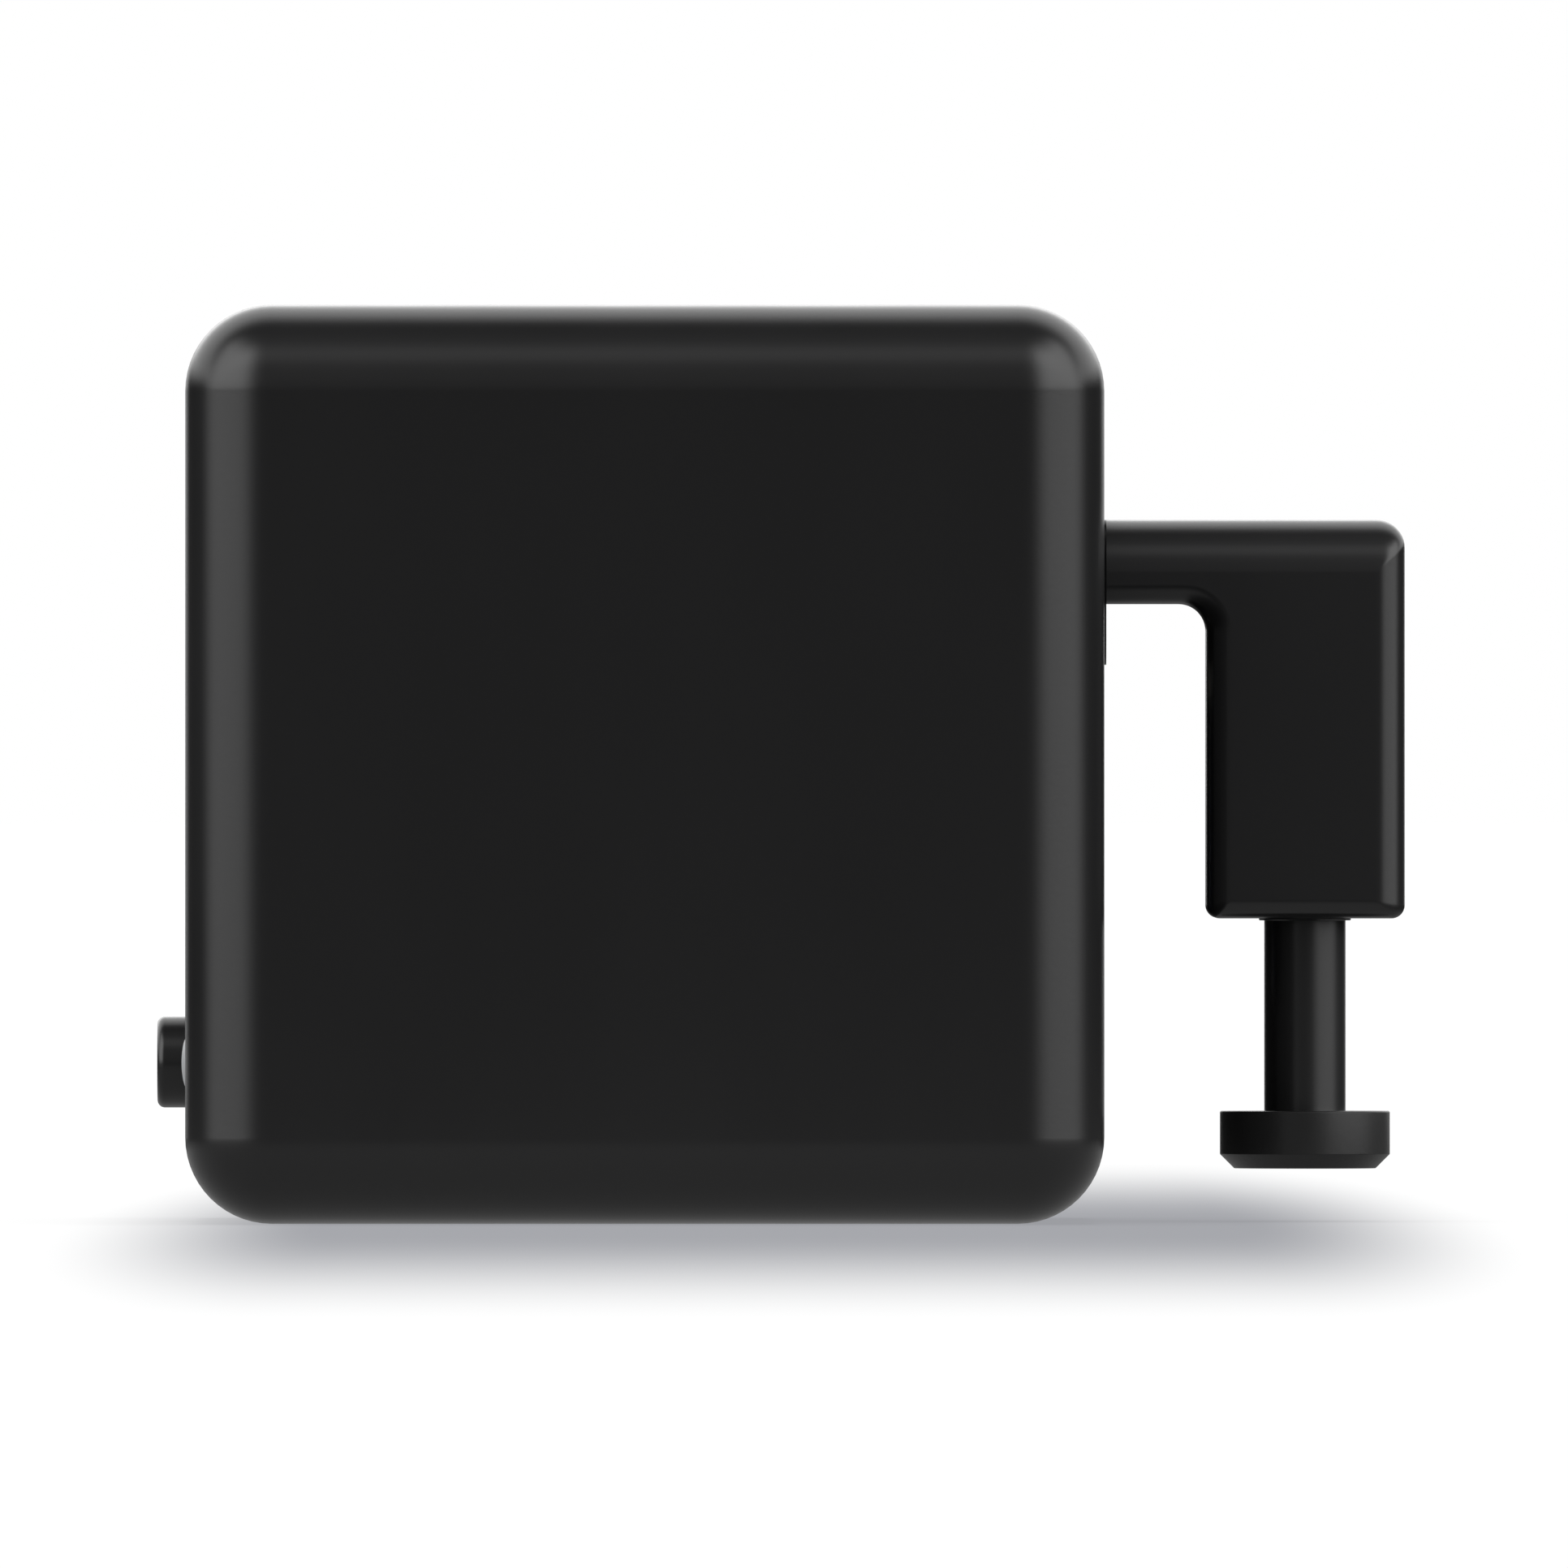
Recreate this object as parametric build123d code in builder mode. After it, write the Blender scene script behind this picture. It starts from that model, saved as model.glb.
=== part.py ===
from build123d import *
from math import acos, ceil, cos, pi, radians, sin, tan
import os

os.makedirs("parts", exist_ok=True)

# A smart button pusher: a battery cube stuck beside a wall switch. A motor and a gear train move a
# rack carriage behind the right wall, and the arm on the carriage pushes the switch with a rod.
# +X is the arm's side, -Y the front and +Z up. The origin is under the centre of the cube, on the
# face that it is stuck down by. Lengths are in millimetres and angles in degrees.

# Housing
body_width = 34.0
body_depth = 34.0
body_height = 34.0
corner_radius = 3.2
wall = 1.5
overrun = 1.0  # how far a cutting shape runs past what it cuts
fit_clearance = 0.02  # radial, where a pin, screw or plug is pressed home

# Back cover
cover_depth = 5.5
seam_gap = 0.08
lip_reach = 1.8
lip_root = 1.2
lip_wall = 1.0
lip_clearance = 0.1
bead_length = 8.0
bead_width = 0.6
bead_height = 0.08
groove_depth = 0.15
groove_clearance = 0.1
notch_length = 7.0
notch_radius = 1.4
notch_depth = 0.6

# Push arm
arm_top = 26.11
arm_depth = 7.4
arm_thickness = 3.13
arm_reach = 11.24
leg_width = 7.38
leg_length = 14.84
arm_top_round = 2.0
arm_side_round = 1.1
arm_corner = 1.05
arm_inner_corner = 1.0
arm_soft_edge = 0.6
leg_end_round = 0.45
tang_width = 3.4
tang_height = 1.9
tang_length = 4.0
tang_corner = 0.3
socket_clearance = 0.04
socket_spare = 0.15

# Push rod, its sleeve and its foot
rod_diameter = 3.03
rod_length = 18.6
rod_chamfer = 0.3
rod_clearance = 0.03
sleeve_wall = 0.17
sleeve_length = 6.3
sleeve_proud = 0.08
bore_relief = 0.05
bore_spare = 2.2
foot_diameter = 6.33
foot_height = 2.14
foot_chamfer = 0.53
foot_edge = 0.2
foot_lift = 1.96
spigot_diameter = 2.0
spigot_length = 1.4

# Hub of the carriage and the slot that it travels in
stroke = 12.0
hub_width = 5.8
hub_height = 5.4
hub_proud = 0.14
hub_corner = 0.9
hub_spigot_width = 4.8
hub_spigot_height = 3.0
hub_spigot_length = 2.7
slot_side_gap = 0.2
slot_end_gap = 0.24

# Rack carriage and its guide rods
block_depth = 8.8
block_thickness = 5.4
block_height = 8.0
block_drop = 1.2
block_wall_gap = 0.2
block_edge = 0.5
guide_diameter = 1.5
guide_spacing = 5.2
guide_inset = 1.3
guide_clearance = 0.03
guide_end_wall = 0.4
rack_depth = 2.0
rack_bar = 2.05
rack_pitch_inset = 0.9

# Gear train
pressure_angle = 20.0
addendum_share = 0.8
dedendum_share = 1.1
tooth_play = 0.05
motor_module = 0.3
motor_teeth = 10
first_wheel_teeth = 36
first_module = 0.35
first_pinion_teeth = 10
second_wheel_teeth = 32
second_module = 0.4
second_pinion_teeth = 12
output_wheel_teeth = 30
rack_module = 0.5
output_pinion_teeth = 14
output_height = 17.0
second_angle = 150.0
first_angle = 240.0
motor_angle = 270.0
first_wheel_face = 1.2
first_pinion_face = 1.9
second_wheel_face = 1.4
second_pinion_face = 2.4
output_wheel_face = 1.8
output_pinion_overlap = 0.7
output_collar_radius = 2.6
collar_radius = 1.4
axial_play = 0.2
axle_diameter = 1.2
axle_clearance = 0.03
axle_plate_depth = 0.6
axle_bulkhead_depth = 0.8
axle_boss_radius = 1.6

# Chassis and gear plate
plate_gap = 0.3
plate_thickness = 1.0
plate_rim = 2.3
post_radius = 1.5
post_gap = 0.35
left_post_angle = 160.0
top_post_angle = 87.0
low_post_angle = 260.0
bulkhead_thickness = 1.2
bulkhead_block_gap = 1.7
shelf_gap = 0.2
shelf_thickness = 1.0
shelf_margin = 0.6
ear_radius = 1.35
boss_inset = 1.55
boss_radius = 1.7
bracket_gap = 1.2
bracket_height = 2.0
bracket_nose = 0.2
bracket_wall = 0.6
bracket_root = 1.2
rib_thickness = 1.4
rib_reach = 6.2
rib_depth = 4.6
rib_height_shares = (0.2, 0.8)
cradle_clearance = 0.05
cradle_wall = 0.8
cradle_depth = 7.3
lug_length = 2.6
lug_height = 3.2
lug_reach = 2.0
lug_height_shares = (0.93, 0.51)

# Screws
screw_diameter = 1.4
screw_head_diameter = 2.6
screw_head_height = 0.9
chassis_screw_length = 7.0
plate_screw_length = 5.0
board_screw_length = 3.2
socket_width = 1.1
socket_depth = 0.5
small_screw_diameter = 1.2
small_head_diameter = 2.2
small_head_height = 0.7

# Motor
motor_diameter = 10.0
motor_flats = 8.0
can_length = 7.8
can_edge = 0.3
end_cap_thickness = 1.6
shaft_diameter = 0.8
shaft_stub = 0.1
shaft_tail = 0.4
terminal_spread = 4.0
terminal_width = 1.0
terminal_thickness = 0.3
terminal_grip = 1.2
terminal_proud = 0.3

# Battery, a short photo cell, and its contacts
battery_diameter = 15.6
battery_length = 27.0
battery_lift = 1.0
battery_back_gap = 1.5
battery_front_gap = 0.4
battery_board_gap = 0.6
nub_diameter = 5.0
nub_height = 0.8
can_round = 0.6
can_wall = 0.35
seal_thickness = 1.0
wrap_thickness = 0.13
saddle_gap = 0.15
contact_thickness = 0.3
contact_width = 4.0
contact_arch = 4.6
contact_foot = 1.0

# Main board and what it carries
board_gap = 0.35
board_thickness = 1.0
board_front_gap = 3.5
board_depth = 22.5
board_floor_gap = 1.5
board_height = 25.4
board_corner = 0.8
chip_gap = 0.8
radio_size = (9.0, 12.0, 2.0)
radio_height_share = 0.67
radio_corner = 0.5
controller_size = (5.0, 5.0, 0.9)
controller_height_share = 0.6
driver_size = (3.0, 4.0, 0.8)
driver_height_share = 0.32
chip_edge = 0.15
capacitor_diameter = 2.2
capacitor_height = 2.0
capacitor_edge = 0.2
capacitor_place_shares = ((0.12, 0.86), (0.25, 0.86))

# Side button, its switch, and the status lamp with its light pipe
control_height = 5.92
button_diameter = 3.4
button_clearance = 0.05
button_proud = 1.18
button_round = 0.28
button_flange_diameter = 4.8
button_flange_thickness = 0.5
button_flange_gap = 0.05
button_stem_diameter = 1.8
button_travel = 0.3
switch_width = 3.6
switch_thickness = 1.4
plunger_diameter = 1.6
plunger_proud = 0.55
plunger_sunk = 0.7
plunger_clearance = 0.05
plunger_spare = 0.1
lens_offset = 6.0
lens_diameter = 1.9
lens_proud = 0.22
lens_flange_diameter = 2.8
lens_flange_thickness = 0.4
lens_tip_diameter = 1.4
lamp_size = (0.9, 1.6, 0.6)
lamp_gap = 0.15

# Places of the walls
inner_right = body_width / 2 - wall
inner_left = -inner_right
inner_back = body_depth / 2 - wall
inner_front = -inner_back
inner_floor = wall
inner_ceiling = body_height - wall
seam_y = body_depth / 2 - cover_depth
inner_radius = corner_radius - wall

# Places of the arm, the hub and the slot
arm_left = body_width / 2 + hub_proud
arm_right = body_width / 2 + arm_reach
leg_left = arm_right - leg_width
leg_bottom = arm_top - leg_length
rod_x = arm_right - leg_width / 2
tang_z = arm_top - arm_thickness / 2
rod_bottom = foot_lift + foot_height
bore_top = rod_bottom + rod_length + bore_spare
sleeve_diameter = rod_diameter + 2 * (rod_clearance + sleeve_wall)
hub_bottom = arm_top - hub_height
slot_top = arm_top + slot_end_gap
slot_bottom = hub_bottom - stroke - slot_end_gap
slot_width = hub_width + 2 * slot_side_gap
slot_height = slot_top - slot_bottom

# Places of the carriage and its guides
block_right = inner_right - block_wall_gap
block_left = block_right - block_thickness
block_bottom = hub_bottom - block_drop
block_top = block_bottom + block_height
guide_x = block_left + guide_inset
guide_spots = [(guide_x, -guide_spacing / 2), (guide_x, guide_spacing / 2)]
upper_bracket_z = block_top + bracket_gap
lower_bracket_z = block_bottom - stroke - bracket_gap - bracket_height
guide_bottom = lower_bracket_z + guide_end_wall
guide_top = upper_bracket_z + bracket_height - guide_end_wall
rack_back = -block_depth / 2
rack_front = rack_back - rack_depth
rack_pitch_x = block_left - rack_pitch_inset
rack_pitch = pi * rack_module
rack_teeth = ceil(stroke / rack_pitch) + 2
rack_bottom = output_height - rack_pitch


def around(centre, distance, angle):
    """Point in the X-Z plane at a distance and an angle from another"""
    return centre[0] + distance * cos(radians(angle)), centre[1] + distance * sin(radians(angle))


# Places of the gear axles, front view, and the radii that neighbours have to clear
output_spot = (rack_pitch_x - rack_module * output_pinion_teeth / 2, output_height)
second_distance = second_module * (output_wheel_teeth + second_pinion_teeth) / 2
second_spot = around(output_spot, second_distance, second_angle)
first_distance = first_module * (second_wheel_teeth + first_pinion_teeth) / 2
first_spot = around(second_spot, first_distance, first_angle)
motor_distance = motor_module * (first_wheel_teeth + motor_teeth) / 2
motor_spot = around(first_spot, motor_distance, motor_angle)
output_tip = second_module * (output_wheel_teeth / 2 + addendum_share)
second_tip = first_module * (second_wheel_teeth / 2 + addendum_share)

# Depths of the gear train, from the front wall backwards
plate_front = inner_front + plate_gap
plate_back = plate_front + plate_thickness
first_front = plate_back + axial_play
first_middle = first_front + first_wheel_face
first_back = first_middle + first_pinion_face
second_front = first_middle + axial_play
second_middle = second_front + second_wheel_face
second_back = second_middle + second_pinion_face
output_front = second_middle + axial_play
output_middle = output_front + output_wheel_face
output_back = rack_back + output_pinion_overlap

# Places of the battery, the bulkhead, the motor and the board
battery_y = inner_back - battery_back_gap - battery_diameter / 2
bulkhead_back = battery_y - battery_diameter / 2 - battery_front_gap
bulkhead_front = bulkhead_back - bulkhead_thickness
bulkhead_right = block_left - bulkhead_block_gap
end_cap_front = bulkhead_front - end_cap_thickness
can_front = end_cap_front - can_length
board_right = motor_spot[0] - motor_diameter / 2 - board_gap
board_left = board_right - board_thickness
board_front = inner_front + board_front_gap
board_bottom = inner_floor + board_floor_gap
battery_x = board_right + battery_board_gap + battery_diameter / 2
low_shelf_bottom = inner_floor + shelf_gap
low_shelf_top = low_shelf_bottom + shelf_thickness
high_shelf_top = inner_ceiling - shelf_gap
high_shelf_bottom = high_shelf_top - shelf_thickness
battery_bottom = low_shelf_top + battery_lift
battery_top = battery_bottom + battery_length
shoulder_top = battery_top - nub_height
shelf_back = seam_y - lip_reach - shelf_margin
posts = [
    around(second_spot, second_tip + post_gap + post_radius, left_post_angle),
    around(output_spot, output_tip + post_gap + post_radius, top_post_angle),
    around(output_spot, output_tip + post_gap + post_radius, low_post_angle),
]
boss_low_z = inner_floor + boss_inset
boss_high_z = inner_ceiling - boss_inset
boss_x = inner_right - boss_inset
boss_spots = [(-boss_x, boss_high_z), (boss_x, boss_high_z), (boss_x, boss_low_z)]
lug_y = (bulkhead_front - lug_reach + bulkhead_back) / 2
lug_spots = [(lug_y, board_bottom + board_height * share) for share in lug_height_shares]
switch_left = board_left - switch_thickness
plunger_left = switch_left - plunger_proud


def front_plane(y):
    """Sketch plane at a depth: X across, Z up, extruded towards the front"""
    return Plane.XZ.offset(-y)


def axle_plane(spot, y):
    """Sketch plane on an axle at a depth: X across, Z up, extruded towards the front"""
    return Plane(origin=(spot[0], y, spot[1]), x_dir=(1, 0, 0), z_dir=(0, -1, 0))


def side_plane(x):
    """Sketch plane at a place across the width: Y across, Z up, extruded towards +X"""
    return Plane.YZ.offset(x)


def save(part, name):
    """Name a finished piece and write it"""
    part.label = name
    export_step(part, "parts/" + name + ".step")


def driver_phase(direction, teeth):
    """Angle of one tooth of a pinion that meets a wheel's tooth on the line of centres"""
    return direction + 180 + 180 / teeth


def gear_outline(spot, y, teeth, module, phase_angle):
    """Spur gear with involute flanks, one tooth of it at the phase angle"""
    pitch_radius = module * teeth / 2
    base_radius = pitch_radius * cos(radians(pressure_angle))
    tip_radius = pitch_radius + module * addendum_share
    root_radius = pitch_radius - module * dedendum_share
    roll = acos(base_radius / tip_radius)
    flare = tan(radians(pressure_angle)) - radians(pressure_angle)
    pitch_half = pi / (2 * teeth) - tooth_play / (2 * pitch_radius)
    root_half = pitch_half + flare
    tip_half = root_half - (tan(roll) - roll)

    def point(radius, angle):
        return radius * cos(angle), radius * sin(angle)

    with BuildSketch(axle_plane(spot, y)) as outline:
        with BuildLine():
            for number in range(teeth):
                middle = radians(phase_angle + 360 * number / teeth)
                rise = [
                    point(root_radius, middle - root_half),
                    point(pitch_radius, middle - pitch_half),
                    point(tip_radius, middle - tip_half),
                ]
                fall = [
                    point(tip_radius, middle + tip_half),
                    point(pitch_radius, middle + pitch_half),
                    point(root_radius, middle + root_half),
                ]
                ThreePointArc(*rise)
                Line(rise[2], fall[0])
                ThreePointArc(*fall)
                Line(fall[2], point(root_radius, middle + 2 * pi / teeth - root_half))
        make_face()
    return outline.sketch


# The whole hollow case, which the seam divides into front shell and back cover
with BuildPart() as casing:
    with BuildSketch():
        Rectangle(body_width, body_depth)
    extrude(amount=body_height)
    fillet(casing.edges(), corner_radius)
    offset(amount=-wall, mode=Mode.SUBTRACT)

lip_width = 2 * (inner_right - lip_clearance)
lip_height = inner_ceiling - inner_floor - 2 * lip_clearance
lip_radius = inner_radius - lip_clearance
bead_y = seam_y - lip_reach / 2

with BuildPart() as front_shell:
    add(casing.part)
    split(bisect_by=front_plane(seam_y), keep=Keep.TOP)
    # screw bosses in three corners
    with BuildSketch(front_plane(bulkhead_front)):
        with Locations(*boss_spots):
            Circle(boss_radius)
    extrude(amount=bulkhead_front - inner_front + wall / 2)
    with BuildSketch(front_plane(bulkhead_front)):
        with Locations(*boss_spots):
            Circle(screw_diameter / 2 + fit_clearance)
    extrude(amount=chassis_screw_length, mode=Mode.SUBTRACT)
    # slot for the hub
    with BuildSketch(side_plane(inner_right - overrun)):
        with Locations((0, (slot_top + slot_bottom) / 2)):
            RectangleRounded(slot_width, slot_height, hub_corner + slot_side_gap)
    extrude(amount=wall + 2 * overrun, mode=Mode.SUBTRACT)
    # holes for the side button and the light pipe
    with BuildSketch(side_plane(-body_width / 2 - overrun)):
        with Locations((0, control_height)):
            Circle(button_diameter / 2 + button_clearance)
        with Locations((-lens_offset, control_height)):
            Circle(lens_diameter / 2 + fit_clearance)
    extrude(amount=wall + 2 * overrun, mode=Mode.SUBTRACT)
    # grooves that take the cover's beads
    with BuildSketch(Plane.XY.offset(inner_floor - groove_depth)):
        with Locations((0, bead_y)):
            Rectangle(bead_length + 2 * groove_clearance, bead_width + 2 * groove_clearance)
    extrude(amount=inner_ceiling - inner_floor + 2 * groove_depth, mode=Mode.SUBTRACT)
save(front_shell.part, "front_shell")

with BuildPart() as back_cover:
    add(casing.part)
    split(bisect_by=front_plane(seam_y + seam_gap), keep=Keep.BOTTOM)
    # lip that slips inside the front shell, on a thicker root
    with BuildSketch(front_plane(seam_y + lip_root)):
        with Locations((0, body_height / 2)):
            RectangleRounded(lip_width + wall, lip_height + wall, lip_radius + wall / 2)
            RectangleRounded(
                lip_width - 2 * lip_wall, lip_height - 2 * lip_wall, lip_radius / 2, mode=Mode.SUBTRACT
            )
    extrude(amount=lip_root - seam_gap)
    with BuildSketch(front_plane(seam_y + seam_gap)):
        with Locations((0, body_height / 2)):
            RectangleRounded(lip_width, lip_height, lip_radius)
            RectangleRounded(
                lip_width - 2 * lip_wall, lip_height - 2 * lip_wall, lip_radius / 2, mode=Mode.SUBTRACT
            )
    extrude(amount=lip_reach + seam_gap)
    # shallow beads that snap into the shell's grooves
    with BuildSketch(front_plane(bead_y + bead_width / 2)):
        with Locations((0, body_height / 2)):
            Rectangle(bead_length, lip_height + 2 * bead_height)
            Rectangle(bead_length, lip_height - lip_wall, mode=Mode.SUBTRACT)
    extrude(amount=bead_width)
    # fingernail notch in the left edge
    with BuildSketch(Plane.XY.offset(body_height / 2 - notch_length / 2)):
        with Locations((-body_width / 2 + notch_depth - notch_radius, seam_y)):
            Circle(notch_radius)
    extrude(amount=notch_length, mode=Mode.SUBTRACT)
save(back_cover.part, "back_cover")

# Button, its flange and its stem, turned about its own axis
with BuildPart() as side_button:
    with BuildSketch(side_plane(-body_width / 2 - button_proud)):
        with Locations((0, control_height)):
            Circle(button_diameter / 2)
    extrude(amount=button_proud + wall + button_flange_gap)
    fillet(side_button.faces().sort_by(Axis.X)[0].edges(), button_round)
    with BuildSketch(side_plane(inner_left + button_flange_gap)):
        with Locations((0, control_height)):
            Circle(button_flange_diameter / 2)
    extrude(amount=button_flange_thickness)
    with BuildSketch(side_plane(inner_left + button_flange_gap)):
        with Locations((0, control_height)):
            Circle(button_stem_diameter / 2)
    extrude(amount=plunger_left - inner_left - button_flange_gap)
save(side_button.part, "side_button")

with BuildPart() as switch_plunger:
    with BuildSketch(side_plane(plunger_left)):
        with Locations((0, control_height)):
            Circle(plunger_diameter / 2)
    extrude(amount=plunger_proud + plunger_sunk)
save(switch_plunger.part, "switch_plunger")

with BuildPart() as button_switch:
    with BuildSketch(side_plane(switch_left)):
        with Locations((0, control_height)):
            Rectangle(switch_width, switch_width)
    extrude(amount=switch_thickness)
    chamfer(button_switch.edges().filter_by(Axis.X), chip_edge)
    with BuildSketch(side_plane(switch_left)):
        with Locations((0, control_height)):
            Circle(plunger_diameter / 2 + plunger_clearance)
    extrude(amount=plunger_sunk + button_travel + plunger_spare, mode=Mode.SUBTRACT)
save(button_switch.part, "button_switch")

# Light pipe: a domed lens in the wall, a flange behind it and a taper to the lamp
lamp_left = board_left - lamp_size[2]
with BuildPart() as light_pipe:
    with BuildSketch(Plane(origin=(0, -lens_offset, control_height), x_dir=(1, 0, 0), z_dir=(0, -1, 0))):
        with BuildLine():
            dome = ThreePointArc(
                (-body_width / 2 - lens_proud, 0),
                (-body_width / 2 - lens_proud * 3 / 4, lens_diameter / 4),
                (-body_width / 2, lens_diameter / 2),
            )
            Polyline(
                dome @ 1,
                (inner_left, lens_diameter / 2),
                (inner_left, lens_flange_diameter / 2),
                (inner_left + lens_flange_thickness, lens_flange_diameter / 2),
                (lamp_left - lamp_gap, lens_tip_diameter / 2),
                (lamp_left - lamp_gap, 0),
                dome @ 0,
            )
        make_face()
    revolve(axis=Axis((0, -lens_offset, control_height), (1, 0, 0)))
save(light_pipe.part, "light_pipe")

with BuildPart() as status_lamp:
    with BuildSketch(side_plane(lamp_left)):
        with Locations((-lens_offset, control_height)):
            Rectangle(lamp_size[0], lamp_size[1])
    extrude(amount=lamp_size[2])
save(status_lamp.part, "status_lamp")

# Chassis: a bulkhead between gears and battery, which carries everything inside
with BuildPart() as chassis:
    with BuildSketch(front_plane(bulkhead_back)):
        with Locations(
            ((board_right + bulkhead_right) / 2, (low_shelf_bottom + high_shelf_top) / 2)
        ):
            Rectangle(bulkhead_right - board_right, high_shelf_top - low_shelf_bottom)
        for x, z in boss_spots:
            with Locations((x / 2, z)):
                Rectangle(abs(x), 2 * ear_radius)
            with Locations((x, z)):
                Circle(ear_radius)
    extrude(amount=bulkhead_thickness)
    # shelves above and below the battery
    for shelf_z in (low_shelf_bottom, high_shelf_bottom):
        with BuildSketch(Plane.XY.offset(shelf_z)):
            with Locations((battery_x, (bulkhead_front + shelf_back) / 2)):
                Rectangle(battery_diameter - 2 * shelf_margin, shelf_back - bulkhead_front)
        extrude(amount=shelf_thickness)
    # saddles that the battery lies in
    for share in rib_height_shares:
        rib_z = battery_bottom + (battery_length - rib_thickness) * share
        with BuildSketch(Plane.XY.offset(rib_z)):
            with Locations((battery_x, bulkhead_back + (rib_depth - bulkhead_thickness) / 2)):
                Rectangle(2 * rib_reach, rib_depth + bulkhead_thickness)
            with Locations((battery_x, battery_y)):
                Circle(battery_diameter / 2 + saddle_gap, mode=Mode.SUBTRACT)
        extrude(amount=rib_thickness)
    # brackets for the guide rods
    bracket_left = bulkhead_right - bracket_root
    bracket_right = guide_x + guide_diameter / 2 + bracket_nose
    bracket_half = guide_spacing / 2 + guide_diameter / 2 + bracket_wall
    for bracket_z in (lower_bracket_z, upper_bracket_z):
        with BuildSketch(Plane.XY.offset(bracket_z)):
            with Locations(((bracket_left + bracket_right) / 2, 0)):
                Rectangle(bracket_right - bracket_left, 2 * bracket_half)
        extrude(amount=bracket_height)
    # posts for the gear plate and bosses behind the gears
    with BuildSketch(front_plane(bulkhead_front)):
        with Locations(*posts):
            Circle(post_radius)
    extrude(amount=bulkhead_front - plate_back)
    gear_backs = [(first_spot, first_back), (second_spot, second_back), (output_spot, output_back)]
    for spot, back in gear_backs:
        with BuildSketch(front_plane(bulkhead_front)):
            with Locations(spot):
                Circle(axle_boss_radius)
        extrude(amount=bulkhead_front - back - axial_play)
    # motor cradle, open towards the board
    with BuildSketch(axle_plane(motor_spot, bulkhead_front)):
        Circle(motor_diameter / 2 + cradle_clearance + cradle_wall)
        Rectangle(
            motor_diameter + 2 * (cradle_clearance + cradle_wall),
            motor_flats + 2 * (cradle_clearance + cradle_wall),
            mode=Mode.INTERSECT,
        )
        with Locations((terminal_grip + cradle_wall - motor_diameter / 2, 0)):
            Rectangle(
                motor_diameter + overrun,
                motor_diameter + overrun,
                align=(Align.MIN, Align.CENTER),
                mode=Mode.INTERSECT,
            )
    extrude(amount=cradle_depth)
    with BuildSketch(axle_plane(motor_spot, bulkhead_front)):
        Circle(motor_diameter / 2 + cradle_clearance)
        Rectangle(motor_diameter + 2 * overrun, motor_flats + 2 * cradle_clearance, mode=Mode.INTERSECT)
    extrude(amount=cradle_depth + overrun, mode=Mode.SUBTRACT)
    # lugs for the main board
    for y, z in lug_spots:
        with BuildSketch(side_plane(board_right)):
            with Locations((y, z)):
                Rectangle(bulkhead_back - bulkhead_front + lug_reach, lug_height)
        extrude(amount=lug_length)
        with BuildSketch(side_plane(board_right)):
            with Locations((y, z)):
                Circle(small_screw_diameter / 2 + fit_clearance)
        extrude(amount=board_screw_length - board_thickness, mode=Mode.SUBTRACT)
    # holes for guide rods, axles and screws
    with BuildSketch(Plane.XY.offset(guide_bottom)):
        with Locations(*guide_spots):
            Circle(guide_diameter / 2 + fit_clearance)
    extrude(amount=guide_top - guide_bottom, mode=Mode.SUBTRACT)
    with BuildSketch(front_plane(bulkhead_front + axle_bulkhead_depth)):
        with Locations(first_spot, second_spot, output_spot):
            Circle(axle_diameter / 2 + fit_clearance)
    extrude(amount=bulkhead_front - plate_back, mode=Mode.SUBTRACT)
    with BuildSketch(front_plane(plate_front + plate_screw_length)):
        with Locations(*posts):
            Circle(small_screw_diameter / 2 + fit_clearance)
    extrude(amount=plate_screw_length, mode=Mode.SUBTRACT)
    with BuildSketch(front_plane(bulkhead_back + overrun)):
        with Locations(*boss_spots):
            Circle(screw_diameter / 2 + fit_clearance)
    extrude(amount=bulkhead_thickness + 2 * overrun, mode=Mode.SUBTRACT)
save(chassis.part, "chassis")

# Plate that holds the front ends of the axles
with BuildPart() as gear_plate:
    with BuildSketch(front_plane(plate_back)) as plate_outline:
        with Locations(*posts, first_spot, second_spot, output_spot):
            Circle(plate_rim)
        make_hull()
    extrude(amount=plate_thickness)
    with BuildSketch(front_plane(plate_back)):
        with Locations(first_spot, second_spot, output_spot):
            Circle(axle_diameter / 2 + fit_clearance)
    extrude(amount=axle_plate_depth, mode=Mode.SUBTRACT)
    with BuildSketch(front_plane(plate_back)):
        with Locations(*posts):
            Circle(small_screw_diameter / 2 + fit_clearance)
    extrude(amount=plate_thickness, mode=Mode.SUBTRACT)
    with BuildSketch(front_plane(plate_front + small_head_height)):
        with Locations(*posts):
            Circle(small_head_diameter / 2 + fit_clearance)
    extrude(amount=small_head_height, mode=Mode.SUBTRACT)
save(gear_plate.part, "gear_plate")

with BuildPart() as gear_plate_screws:
    with BuildSketch(front_plane(plate_front + small_head_height)):
        with Locations(*posts):
            Circle(small_head_diameter / 2)
    extrude(amount=small_head_height)
    with BuildSketch(front_plane(plate_front + plate_screw_length)):
        with Locations(*posts):
            Circle(small_screw_diameter / 2)
    extrude(amount=plate_screw_length)
    with BuildSketch(front_plane(plate_front + socket_depth)):
        with Locations(*posts):
            RegularPolygon(socket_width / 2, 6)
    extrude(amount=socket_depth, mode=Mode.SUBTRACT)
save(gear_plate_screws.part, "gear_plate_screws")

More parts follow.
